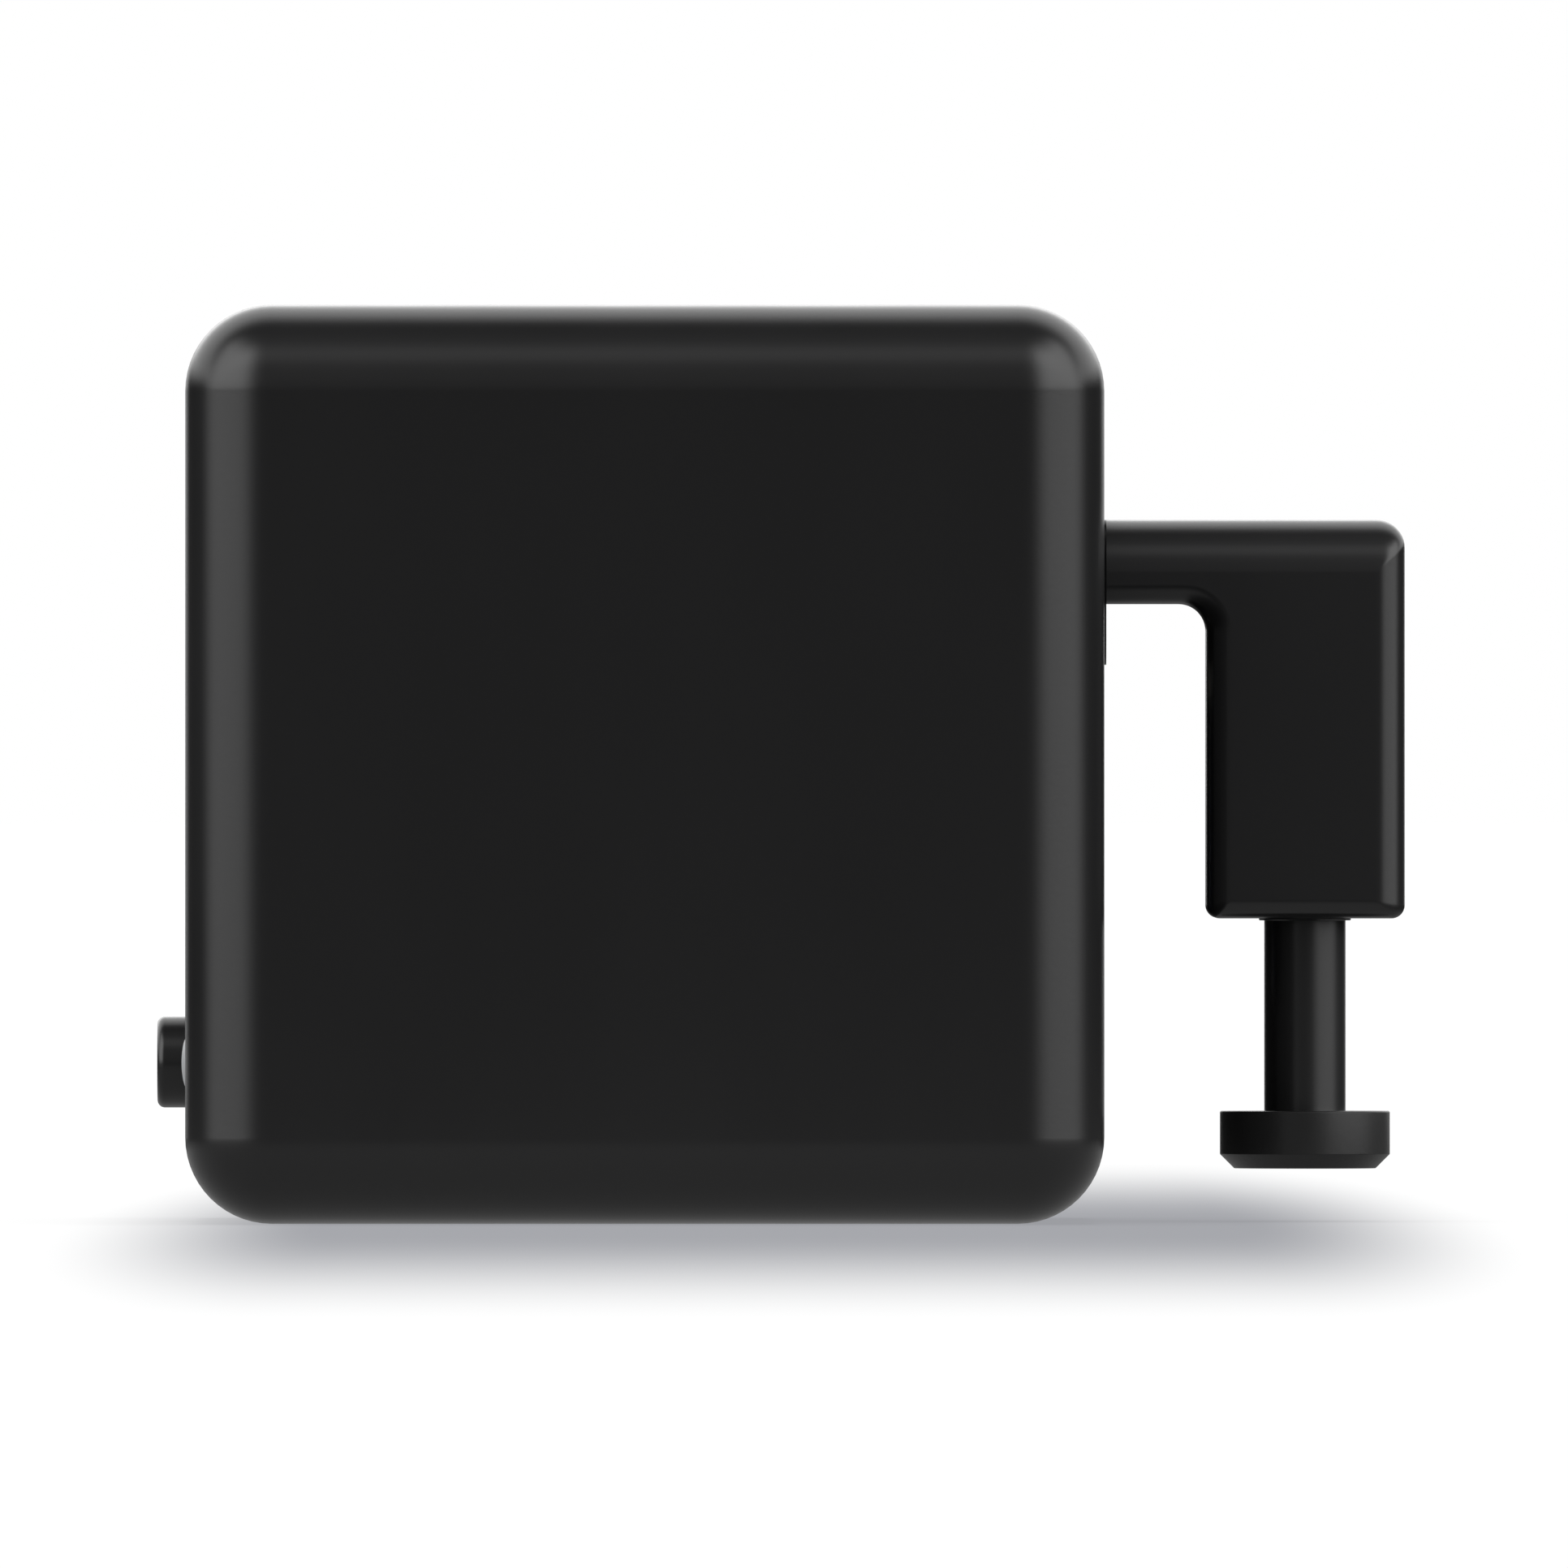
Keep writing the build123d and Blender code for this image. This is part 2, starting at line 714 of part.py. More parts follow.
with BuildPart() as chassis_screws:
    with BuildSketch(front_plane(bulkhead_back + screw_head_height)):
        with Locations(*boss_spots):
            Circle(screw_head_diameter / 2)
    extrude(amount=screw_head_height)
    with BuildSketch(front_plane(bulkhead_back)):
        with Locations(*boss_spots):
            Circle(screw_diameter / 2)
    extrude(amount=chassis_screw_length)
    with BuildSketch(front_plane(bulkhead_back + screw_head_height)):
        with Locations(*boss_spots):
            RegularPolygon(socket_width / 2, 6)
    extrude(amount=socket_depth, mode=Mode.SUBTRACT)
save(chassis_screws.part, "chassis_screws")

with BuildPart() as board_screws:
    with BuildSketch(side_plane(board_left - small_head_height)):
        with Locations(*lug_spots):
            Circle(small_head_diameter / 2)
    extrude(amount=small_head_height)
    with BuildSketch(side_plane(board_left)):
        with Locations(*lug_spots):
            Circle(small_screw_diameter / 2)
    extrude(amount=board_screw_length)
    with BuildSketch(side_plane(board_left - small_head_height)):
        with Locations(*lug_spots):
            RegularPolygon(socket_width / 2, 6)
    extrude(amount=socket_depth, mode=Mode.SUBTRACT)
save(board_screws.part, "board_screws")

with BuildPart() as guide_rods:
    with BuildSketch(Plane.XY.offset(guide_bottom)):
        with Locations(*guide_spots):
            Circle(guide_diameter / 2)
    extrude(amount=guide_top - guide_bottom)
save(guide_rods.part, "guide_rods")

with BuildPart() as gear_axles:
    with BuildSketch(front_plane(bulkhead_front + axle_bulkhead_depth)):
        with Locations(first_spot, second_spot, output_spot):
            Circle(axle_diameter / 2)
    extrude(amount=bulkhead_front + axle_bulkhead_depth - plate_back + axle_plate_depth)
save(gear_axles.part, "gear_axles")


def axle_disc(spot, front, back, radius):
    """Disc on an axle between two depths"""
    with BuildPart() as disc:
        with BuildSketch(axle_plane(spot, back)):
            Circle(radius)
        extrude(amount=back - front)
    return disc.part


gear_bore = axle_diameter / 2 + axle_clearance
output_phase = 0
output_wheel_phase = second_angle
second_phase = driver_phase(second_angle, second_pinion_teeth)
second_wheel_phase = first_angle
first_phase = driver_phase(first_angle, first_pinion_teeth)
first_wheel_phase = motor_angle
motor_phase = driver_phase(motor_angle, motor_teeth)

# Gears, each a wheel and a pinion in one moulding
with BuildPart() as output_gear:
    extrude(
        gear_outline(output_spot, output_middle, output_wheel_teeth, second_module, output_wheel_phase),
        amount=output_wheel_face,
    )
    add(axle_disc(output_spot, plate_back + axial_play, output_front, collar_radius))
    add(axle_disc(output_spot, output_middle, rack_front, output_collar_radius))
    extrude(
        gear_outline(output_spot, output_back, output_pinion_teeth, rack_module, output_phase),
        amount=output_back - rack_front,
    )
    with BuildSketch(axle_plane(output_spot, output_back)):
        Circle(gear_bore)
    extrude(amount=output_back - plate_back, mode=Mode.SUBTRACT)
save(output_gear.part, "output_gear")

with BuildPart() as second_gear:
    extrude(
        gear_outline(second_spot, second_middle, second_wheel_teeth, first_module, second_wheel_phase),
        amount=second_wheel_face,
    )
    add(axle_disc(second_spot, plate_back + axial_play, second_front, collar_radius))
    extrude(
        gear_outline(second_spot, second_back, second_pinion_teeth, second_module, second_phase),
        amount=second_pinion_face,
    )
    with BuildSketch(axle_plane(second_spot, second_back)):
        Circle(gear_bore)
    extrude(amount=second_back - plate_back, mode=Mode.SUBTRACT)
save(second_gear.part, "second_gear")

with BuildPart() as first_gear:
    extrude(
        gear_outline(first_spot, first_middle, first_wheel_teeth, motor_module, first_wheel_phase),
        amount=first_wheel_face,
    )
    extrude(
        gear_outline(first_spot, first_back, first_pinion_teeth, first_module, first_phase),
        amount=first_pinion_face,
    )
    with BuildSketch(axle_plane(first_spot, first_back)):
        Circle(gear_bore)
    extrude(amount=first_back - plate_back, mode=Mode.SUBTRACT)
save(first_gear.part, "first_gear")

with BuildPart() as motor_pinion:
    extrude(
        gear_outline(motor_spot, first_middle, motor_teeth, motor_module, motor_phase),
        amount=first_wheel_face,
    )
    with BuildSketch(axle_plane(motor_spot, first_middle)):
        Circle(shaft_diameter / 2 + fit_clearance)
    extrude(amount=first_wheel_face, mode=Mode.SUBTRACT)
save(motor_pinion.part, "motor_pinion")

with BuildPart() as motor_shaft:
    with BuildSketch(axle_plane(motor_spot, bulkhead_front - shaft_tail)):
        Circle(shaft_diameter / 2)
    extrude(amount=bulkhead_front - shaft_tail - first_front + shaft_stub)
save(motor_shaft.part, "motor_shaft")

with BuildPart() as motor_can:
    with BuildSketch(axle_plane(motor_spot, end_cap_front)):
        Circle(motor_diameter / 2)
        Rectangle(motor_diameter, motor_flats, mode=Mode.INTERSECT)
    extrude(amount=can_length)
    fillet(motor_can.faces().sort_by(Axis.Y)[0].edges(), can_edge)
    with BuildSketch(axle_plane(motor_spot, end_cap_front)):
        Circle(shaft_diameter / 2 + axle_clearance)
    extrude(amount=can_length, mode=Mode.SUBTRACT)
save(motor_can.part, "motor_can")

terminal_spots = [
    (end_cap_front + end_cap_thickness / 2, motor_spot[1] - terminal_spread / 2),
    (end_cap_front + end_cap_thickness / 2, motor_spot[1] + terminal_spread / 2),
]
terminal_right = motor_spot[0] - motor_diameter / 2 + terminal_grip
with BuildPart() as motor_end_cap:
    with BuildSketch(axle_plane(motor_spot, bulkhead_front)):
        Circle(motor_diameter / 2)
        Rectangle(motor_diameter, motor_flats, mode=Mode.INTERSECT)
    extrude(amount=end_cap_thickness)
    with BuildSketch(axle_plane(motor_spot, bulkhead_front - shaft_tail)):
        Circle(shaft_diameter / 2 + axle_clearance)
    extrude(amount=end_cap_thickness, mode=Mode.SUBTRACT)
    with BuildSketch(side_plane(terminal_right)):
        with Locations(*terminal_spots):
            Rectangle(terminal_thickness + fit_clearance, terminal_width + fit_clearance)
    extrude(amount=-terminal_grip - overrun, mode=Mode.SUBTRACT)
save(motor_end_cap.part, "motor_end_cap")

with BuildPart() as motor_terminals:
    with BuildSketch(side_plane(board_left - terminal_proud)):
        with Locations(*terminal_spots):
            Rectangle(terminal_thickness, terminal_width)
    extrude(amount=terminal_right - board_left + terminal_proud)
save(motor_terminals.part, "motor_terminals")

# Main board, screwed to the chassis lugs, with the motor's terminals soldered through it
with BuildPart() as main_board:
    with BuildSketch(side_plane(board_left)):
        with Locations((board_front + board_depth / 2, board_bottom + board_height / 2)):
            RectangleRounded(board_depth, board_height, board_corner)
        with Locations(*lug_spots):
            Circle(small_screw_diameter / 2 + fit_clearance, mode=Mode.SUBTRACT)
        with Locations(*terminal_spots):
            Rectangle(
                terminal_thickness + 2 * fit_clearance,
                terminal_width + 2 * fit_clearance,
                mode=Mode.SUBTRACT,
            )
    extrude(amount=board_thickness)
save(main_board.part, "main_board")


def board_spot(place_share):
    """Place on the board, front to back and upwards, from shares of its size"""
    return board_front + board_depth * place_share[0], board_bottom + board_height * place_share[1]


def beside_screws(side, width, height_share):
    """Place on the board of a piece in front of (-1) or behind (1) the column of screws"""
    offset = small_head_diameter / 2 + chip_gap + width / 2
    return lug_y + side * offset, board_bottom + board_height * height_share


with BuildPart() as radio_module:
    with BuildSketch(side_plane(board_left - radio_size[2])):
        with Locations(beside_screws(1, radio_size[0], radio_height_share)):
            RectangleRounded(radio_size[0], radio_size[1], radio_corner)
    extrude(amount=radio_size[2])
save(radio_module.part, "radio_module")

with BuildPart() as controller_chip:
    with BuildSketch(side_plane(board_left - controller_size[2])):
        with Locations(beside_screws(-1, controller_size[0], controller_height_share)):
            Rectangle(controller_size[0], controller_size[1])
    extrude(amount=controller_size[2])
    chamfer(controller_chip.faces().sort_by(Axis.X)[0].edges(), chip_edge)
save(controller_chip.part, "controller_chip")

with BuildPart() as motor_driver_chip:
    with BuildSketch(side_plane(board_left - driver_size[2])):
        with Locations(beside_screws(-1, driver_size[0], driver_height_share)):
            Rectangle(driver_size[0], driver_size[1])
    extrude(amount=driver_size[2])
    chamfer(motor_driver_chip.faces().sort_by(Axis.X)[0].edges(), chip_edge)
save(motor_driver_chip.part, "motor_driver_chip")

with BuildPart() as capacitors:
    with BuildSketch(side_plane(board_left - capacitor_height)):
        with Locations(*[board_spot(share) for share in capacitor_place_shares]):
            Circle(capacitor_diameter / 2)
    extrude(amount=capacitor_height)
    fillet(capacitors.edges().group_by(Axis.X)[0], capacitor_edge)
save(capacitors.part, "capacitors")

# Battery: steel can with the rolled cell in it, a seal in its mouth, plastic wrap and raised cap
can_radius = battery_diameter / 2 - wrap_thickness - fit_clearance
with BuildPart() as battery_can:
    with BuildSketch(Plane.XY.offset(battery_bottom)):
        with Locations((battery_x, battery_y)):
            Circle(can_radius)
    extrude(amount=shoulder_top - battery_bottom)
    fillet(battery_can.edges(), can_round)
    with BuildSketch(Plane.XY.offset(battery_bottom + can_wall)):
        with Locations((battery_x, battery_y)):
            Circle(can_radius - can_wall)
    extrude(amount=shoulder_top - battery_bottom - 2 * can_wall, mode=Mode.SUBTRACT)
    with BuildSketch(Plane.XY.offset(shoulder_top - can_wall)):
        with Locations((battery_x, battery_y)):
            Circle(can_radius - can_round - can_wall)
    extrude(amount=can_wall, mode=Mode.SUBTRACT)
save(battery_can.part, "battery_can")

core_top = shoulder_top - seal_thickness
with BuildPart() as battery_core:
    with BuildSketch(Plane.XY.offset(battery_bottom + can_wall + fit_clearance)):
        with Locations((battery_x, battery_y)):
            Circle(can_radius - can_wall - fit_clearance)
    extrude(amount=core_top - battery_bottom - can_wall - fit_clearance)
save(battery_core.part, "battery_core")

with BuildPart() as battery_seal:
    with BuildSketch(Plane.XY.offset(core_top + fit_clearance)):
        with Locations((battery_x, battery_y)):
            Circle(can_radius - can_wall - fit_clearance)
    extrude(amount=seal_thickness - can_wall - 2 * fit_clearance)
    with BuildSketch(Plane.XY.offset(core_top + fit_clearance)):
        with Locations((battery_x, battery_y)):
            Circle(can_radius - can_round - can_wall - fit_clearance)
    extrude(amount=seal_thickness - fit_clearance)
save(battery_seal.part, "battery_seal")

with BuildPart() as battery_wrap:
    with BuildSketch(Plane.XY.offset(battery_bottom + can_round)):
        with Locations((battery_x, battery_y)):
            Circle(battery_diameter / 2)
            Circle(battery_diameter / 2 - wrap_thickness, mode=Mode.SUBTRACT)
    extrude(amount=shoulder_top - battery_bottom - 2 * can_round)
save(battery_wrap.part, "battery_wrap")

with BuildPart() as battery_cap:
    with BuildSketch(Plane.XY.offset(shoulder_top)):
        with Locations((battery_x, battery_y)):
            Circle(nub_diameter / 2)
    extrude(amount=nub_height)
    chamfer(battery_cap.faces().sort_by(Axis.Z)[-1].edges(), nub_height / 4)
save(battery_cap.part, "battery_cap")


def contact_outline(seat, touch, side):
    """Leaf contact from the board along a shelf, arched to touch the battery"""
    arch_left, arch_right = battery_x - contact_arch, battery_x + contact_arch
    with BuildSketch(front_plane(battery_y + contact_width / 2)) as outline:
        with BuildLine():
            upper = ThreePointArc(
                (arch_left, seat + side * contact_thickness),
                (battery_x, touch),
                (arch_right, seat + side * contact_thickness),
            )
            lower = ThreePointArc(
                (arch_left + contact_thickness, seat),
                (battery_x, touch - side * contact_thickness),
                (arch_right - contact_thickness, seat),
            )
            Polyline(
                upper @ 0, (board_right, seat + side * contact_thickness), (board_right, seat), lower @ 0
            )
            Polyline(
                upper @ 1,
                (arch_right + contact_foot, seat + side * contact_thickness),
                (arch_right + contact_foot, seat),
                lower @ 1,
            )
        make_face()
    return outline.sketch


with BuildPart() as negative_contact:
    extrude(contact_outline(low_shelf_top, battery_bottom, 1), amount=contact_width)
save(negative_contact.part, "negative_contact")

with BuildPart() as positive_contact:
    extrude(contact_outline(high_shelf_bottom, battery_top, -1), amount=contact_width)
save(positive_contact.part, "positive_contact")

# Rack carriage: a block on the guide rods with the rack on its front
with BuildPart() as rack_carriage:
    with BuildSketch(Plane.XY.offset(block_bottom)):
        with Locations(((block_left + block_right) / 2, 0)):
            Rectangle(block_thickness, block_depth)
        with Locations(*guide_spots):
            Circle(guide_diameter / 2 + guide_clearance, mode=Mode.SUBTRACT)
    extrude(amount=block_height)
    block_ends = rack_carriage.edges().filter_by(Axis.Y)
    chamfer(block_ends, block_edge)
    with BuildSketch(side_plane(block_right)):
        with Locations((0, tang_z)):
            Rectangle(hub_spigot_width + 2 * fit_clearance, hub_spigot_height + 2 * fit_clearance)
    extrude(amount=-hub_spigot_length - fit_clearance, mode=Mode.SUBTRACT)
    rack_root = rack_pitch_x + rack_module * dedendum_share
    rack_tip = rack_pitch_x - rack_module * addendum_share
    lean = tan(radians(pressure_angle)) * rack_module
    half_tooth = rack_pitch / 4 - tooth_play / 2
    root_half = half_tooth + lean * dedendum_share
    tip_half = half_tooth - lean * addendum_share
    rack_top = rack_bottom + rack_teeth * rack_pitch
    with BuildSketch(front_plane(rack_back)):
        with BuildLine():
            for number in range(rack_teeth):
                tooth_z = rack_bottom + (number + 1 / 2) * rack_pitch
                Polyline(
                    (rack_root, tooth_z - rack_pitch / 2),
                    (rack_root, tooth_z - root_half),
                    (rack_tip, tooth_z - tip_half),
                    (rack_tip, tooth_z + tip_half),
                    (rack_root, tooth_z + root_half),
                    (rack_root, tooth_z + rack_pitch / 2),
                )
            Polyline(
                (rack_root, rack_top),
                (rack_root + rack_bar, rack_top),
                (rack_root + rack_bar, rack_bottom),
                (rack_root, rack_bottom),
            )
        make_face()
    extrude(amount=rack_depth)
save(rack_carriage.part, "rack_carriage")

# Hub that plugs into the carriage through the slot and takes the arm's tang
with BuildPart() as carriage_hub:
    with BuildSketch(side_plane(block_right)):
        with Locations((0, (arm_top + hub_bottom) / 2)):
            RectangleRounded(hub_width, hub_height, hub_corner)
    extrude(amount=arm_left - block_right)
    with BuildSketch(side_plane(block_right - hub_spigot_length)):
        with Locations((0, tang_z)):
            Rectangle(hub_spigot_width, hub_spigot_height)
    extrude(amount=hub_spigot_length)
    with BuildSketch(side_plane(arm_left)):
        with Locations((0, tang_z)):
            Rectangle(tang_width + 2 * socket_clearance, tang_height + 2 * socket_clearance)
    extrude(amount=-tang_length - socket_spare, mode=Mode.SUBTRACT)
save(carriage_hub.part, "carriage_hub")

# Arm: one moulding with a level bar, a broad leg with the rod's bore, and a tang
with BuildPart() as push_arm:
    with BuildSketch(front_plane(arm_depth / 2)):
        with BuildLine():
            FilletPolyline(
                (arm_left, arm_top),
                (arm_right, arm_top),
                (arm_right, leg_bottom),
                (leg_left, leg_bottom),
                (leg_left, arm_top - arm_thickness),
                (arm_left, arm_top - arm_thickness),
                radius=[arm_corner, leg_end_round, leg_end_round, arm_inner_corner],
            )
            Line((arm_left, arm_top - arm_thickness), (arm_left, arm_top))
        make_face()
    extrude(amount=arm_depth)
    # soft edges round the inside of the angle
    under_face = push_arm.faces().filter_by(Axis.Z).group_by(Axis.Z)[1][0]
    inner_face = push_arm.faces().filter_by(Axis.X).sort_by(Axis.X)[1]
    soft_edges = [
        edge
        for edge in under_face.edges() + inner_face.edges()
        if abs(abs(edge.center().Y) - arm_depth / 2) < fit_clearance
    ]
    fillet(soft_edges, arm_soft_edge)
    # broad rounds on top, as a section seen from the side
    with BuildSketch(side_plane(arm_left)) as side_section:
        with Locations((0, arm_top)):
            Rectangle(arm_depth, leg_length, align=(Align.CENTER, Align.MAX))
        fillet(side_section.vertices().group_by(Axis.Y)[-1], arm_top_round)
        fillet(side_section.vertices().group_by(Axis.Y)[0], leg_end_round)
    extrude(amount=arm_right - arm_left, mode=Mode.INTERSECT)
    # and on the outer side, as a section seen from above
    with BuildSketch(Plane.XY.offset(leg_bottom)) as top_section:
        with Locations((arm_right, 0)):
            Rectangle(arm_right - arm_left, arm_depth, align=(Align.MAX, Align.CENTER))
        fillet(top_section.vertices().group_by(Axis.X)[-1], arm_side_round)
    extrude(amount=leg_length, mode=Mode.INTERSECT)
    with BuildSketch(side_plane(arm_left - tang_length)):
        with Locations((0, tang_z)):
            RectangleRounded(tang_width, tang_height, tang_corner)
    extrude(amount=tang_length)
    # bore for the sleeve and, above it, for the rod
    with BuildSketch(Plane.XY.offset(leg_bottom)):
        with Locations((rod_x, 0)):
            Circle(sleeve_diameter / 2 + fit_clearance)
    extrude(amount=sleeve_length - sleeve_proud, mode=Mode.SUBTRACT)
    with BuildSketch(Plane.XY.offset(leg_bottom)):
        with Locations((rod_x, 0)):
            Circle(rod_diameter / 2 + bore_relief)
    extrude(amount=bore_top - leg_bottom, mode=Mode.SUBTRACT)
save(push_arm.part, "push_arm")

with BuildPart() as rod_sleeve:
    with BuildSketch(Plane.XY.offset(leg_bottom - sleeve_proud)):
        with Locations((rod_x, 0)):
            Circle(sleeve_diameter / 2)
            Circle(rod_diameter / 2 + rod_clearance, mode=Mode.SUBTRACT)
    extrude(amount=sleeve_length)
save(rod_sleeve.part, "rod_sleeve")

with BuildPart() as push_rod:
    with BuildSketch(Plane.XY.offset(rod_bottom)):
        with Locations((rod_x, 0)):
            Circle(rod_diameter / 2)
    extrude(amount=rod_length)
    chamfer(push_rod.faces().sort_by(Axis.Z)[-1].edges(), rod_chamfer)
    with BuildSketch(Plane.XY.offset(rod_bottom - spigot_length)):
        with Locations((rod_x, 0)):
            Circle(spigot_diameter / 2)
    extrude(amount=spigot_length)
save(push_rod.part, "push_rod")

with BuildPart() as push_foot:
    with BuildSketch(Plane.XY.offset(foot_lift)):
        with Locations((rod_x, 0)):
            Circle(foot_diameter / 2)
    extrude(amount=foot_height)
    chamfer(push_foot.faces().sort_by(Axis.Z)[0].edges(), foot_chamfer)
    fillet(push_foot.faces().sort_by(Axis.Z)[-1].edges(), foot_edge)
    with BuildSketch(Plane.XY.offset(rod_bottom - spigot_length)):
        with Locations((rod_x, 0)):
            Circle(spigot_diameter / 2 + fit_clearance)
    extrude(amount=spigot_length, mode=Mode.SUBTRACT)
save(push_foot.part, "push_foot")
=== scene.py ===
"""A smart button pusher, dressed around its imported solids.

The front is -Y, the arm is on +X and the base stands on Z = 0. Lengths are in metres.
"""
import math

import bmesh
import bpy
from bpy.props import FloatProperty, FloatVectorProperty, IntProperty, PointerProperty
from bpy.types import Operator, Panel, PropertyGroup
from mathutils import Matrix, Vector


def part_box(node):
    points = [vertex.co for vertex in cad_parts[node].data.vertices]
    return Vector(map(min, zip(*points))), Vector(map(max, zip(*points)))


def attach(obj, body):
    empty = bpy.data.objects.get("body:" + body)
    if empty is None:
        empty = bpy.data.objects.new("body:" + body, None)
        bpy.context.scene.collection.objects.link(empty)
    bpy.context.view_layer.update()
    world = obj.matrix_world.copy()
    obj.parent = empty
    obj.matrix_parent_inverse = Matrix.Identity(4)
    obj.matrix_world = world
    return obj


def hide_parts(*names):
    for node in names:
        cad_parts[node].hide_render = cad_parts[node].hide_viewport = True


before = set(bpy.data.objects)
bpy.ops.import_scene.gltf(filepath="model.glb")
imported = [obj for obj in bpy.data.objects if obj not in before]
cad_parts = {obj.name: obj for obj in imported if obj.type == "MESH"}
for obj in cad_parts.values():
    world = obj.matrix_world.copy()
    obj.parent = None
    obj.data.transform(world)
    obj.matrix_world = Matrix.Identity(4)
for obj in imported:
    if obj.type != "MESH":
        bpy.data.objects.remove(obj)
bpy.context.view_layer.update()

bl_info = {
    "name": "Smart Button Pusher",
    "version": (1, 0, 0),
    "blender": (4, 5, 0),
    "location": "View3D > Sidebar > Button Pusher",
    "description": "Dresses the packed solids of a smart button pusher and sets up its studio",
    "category": "Object",
}

mm = 0.001
TURN = 2 * math.pi
SHARP = math.radians(30)  # faces that meet at a wider angle than this keep a sharp edge
MERGE = 0.0005 * mm       # points nearer than this are one point after a boolean
TOUCH = 1e-7              # points nearer than this lie on the same spot or plane
OVERRUN = 1 * mm          # how far a cutting solid reaches past what it cuts


def place_of(node):
    """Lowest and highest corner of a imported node, as vectors"""
    low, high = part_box(node)
    return Vector(low), Vector(high)


shell_low, shell_high = place_of("front_shell")
cover_low, cover_high = place_of("back_cover")
arm_low, arm_high = place_of("push_arm")
rod_low, rod_high = place_of("push_rod")
foot_low, foot_high = place_of("push_foot")
sleeve_low, sleeve_high = place_of("rod_sleeve")
button_low, button_high = place_of("side_button")
pipe_low, pipe_high = place_of("light_pipe")
hub_low, hub_high = place_of("carriage_hub")

button_height = (button_low.z + button_high.z) / 2
rod_axis = ((rod_low.x + rod_high.x) / 2, 0.0)


# Settings that a user would change

def length(name, description, millimetres):
    return FloatProperty(name=name, description=description, default=millimetres * mm,
                         min=0.0, subtype="DISTANCE", unit="LENGTH", precision=5)


def share(name, description, default):
    return FloatProperty(name=name, description=description, default=default,
                         min=0.0, max=1.0, subtype="FACTOR")


def colour(name, description, red, green, blue):
    return FloatVectorProperty(name=name, description=description, default=(red, green, blue),
                               size=3, min=0.0, max=1.0, subtype="COLOR")


def level(name, description, default):
    return FloatProperty(name=name, description=description, default=default, min=0.0)


def angle(name, description, degrees):
    return FloatProperty(name=name, description=description, default=math.radians(degrees),
                         subtype="ANGLE", unit="ROTATION")


class HousingSizes(PropertyGroup):
    corner: length("Corner", "Radius of the cube's edges and corners", 3.2)
    wall: length("Wall", "Thickness of shell and cover", 1.5)
    seam_edge: length("Seam edge", "Softening of the two edges at the seam", 0.12)
    hole_edge: length("Hole edge", "Softening of the rims of slot, button hole and lens hole", 0.12)
    boss: length("Boss", "Radius of the screw bosses in the corners", 1.7)
    boss_inset: length("Boss inset", "From the inner wall to a boss's axis", 1.55)
    boss_bore: length("Boss bore", "Radius of the hole in a boss", 0.72)
    boss_depth: length("Boss depth", "Depth of the hole in a boss", 7.0)
    lip: length("Lip", "Thickness of the cover's lip", 1.0)
    lip_gap: length("Lip gap", "Clearance between the lip and the shell", 0.1)
    steps: IntProperty(name="Steps", description="Facets along each rounded edge", default=14, min=2)


class ArmSizes(PropertyGroup):
    thickness: length("Thickness", "Height of the level bar", 3.13)
    leg_width: length("Leg width", "Width of the leg seen from the front", 7.38)
    outer_corner: length("Outer corner", "Radius of the top corner seen from the front", 1.05)
    inner_corner: length("Inner corner", "Radius inside the angle", 1.0)
    end_round: length("End round", "Radius at the leg's end", 0.5)
    top_round: length("Top round", "Radius along the top, seen from the side", 2.0)
    side_round: length("Side round", "Radius along the outer side, seen from above", 1.1)
    soft_edge: length("Soft edge", "Radius under the bar and round the leg's end", 0.7)
    inner_edge: length("Inner edge", "Radius down the inner side of the leg", 0.95)
    bore_edge: length("Bore edge", "Softening of the bore's rim", 0.06)


class ControlSizes(PropertyGroup):
    button: length("Button", "Radius of the side button", 1.7)
    button_round: length("Button round", "Radius round the button's face", 0.28)
    lens: length("Lens", "Radius of the lens in the left wall", 0.95)
    lens_offset: length("Lens offset", "From the button forwards to the lens", 6.0)
    rod: length("Rod", "Radius of the push rod", 1.515)
    foot: length("Foot", "Radius of the foot", 3.165)
    foot_chamfer: length("Foot chamfer", "Slope round the foot's sole", 0.53)
    foot_edge: length("Foot edge", "Radius round the foot's top", 0.07)


class BoardSizes(PropertyGroup):
    lead_pitch: length("Lead pitch", "Spacing of the chips' leads", 0.65)
    lead_width: length("Lead width", "Width of a lead", 0.28)
    lead_reach: length("Lead reach", "How far a lead stands out from its chip", 0.55)
    part_pitch: length("Part pitch", "Spacing of the small parts on the board", 1.7)
    part_shift: length("Part shift", "How far a small part may stray from its place", 0.18)
    seed: IntProperty(name="Seed", description="Fixed seed of the small parts' places and sizes", default=11)


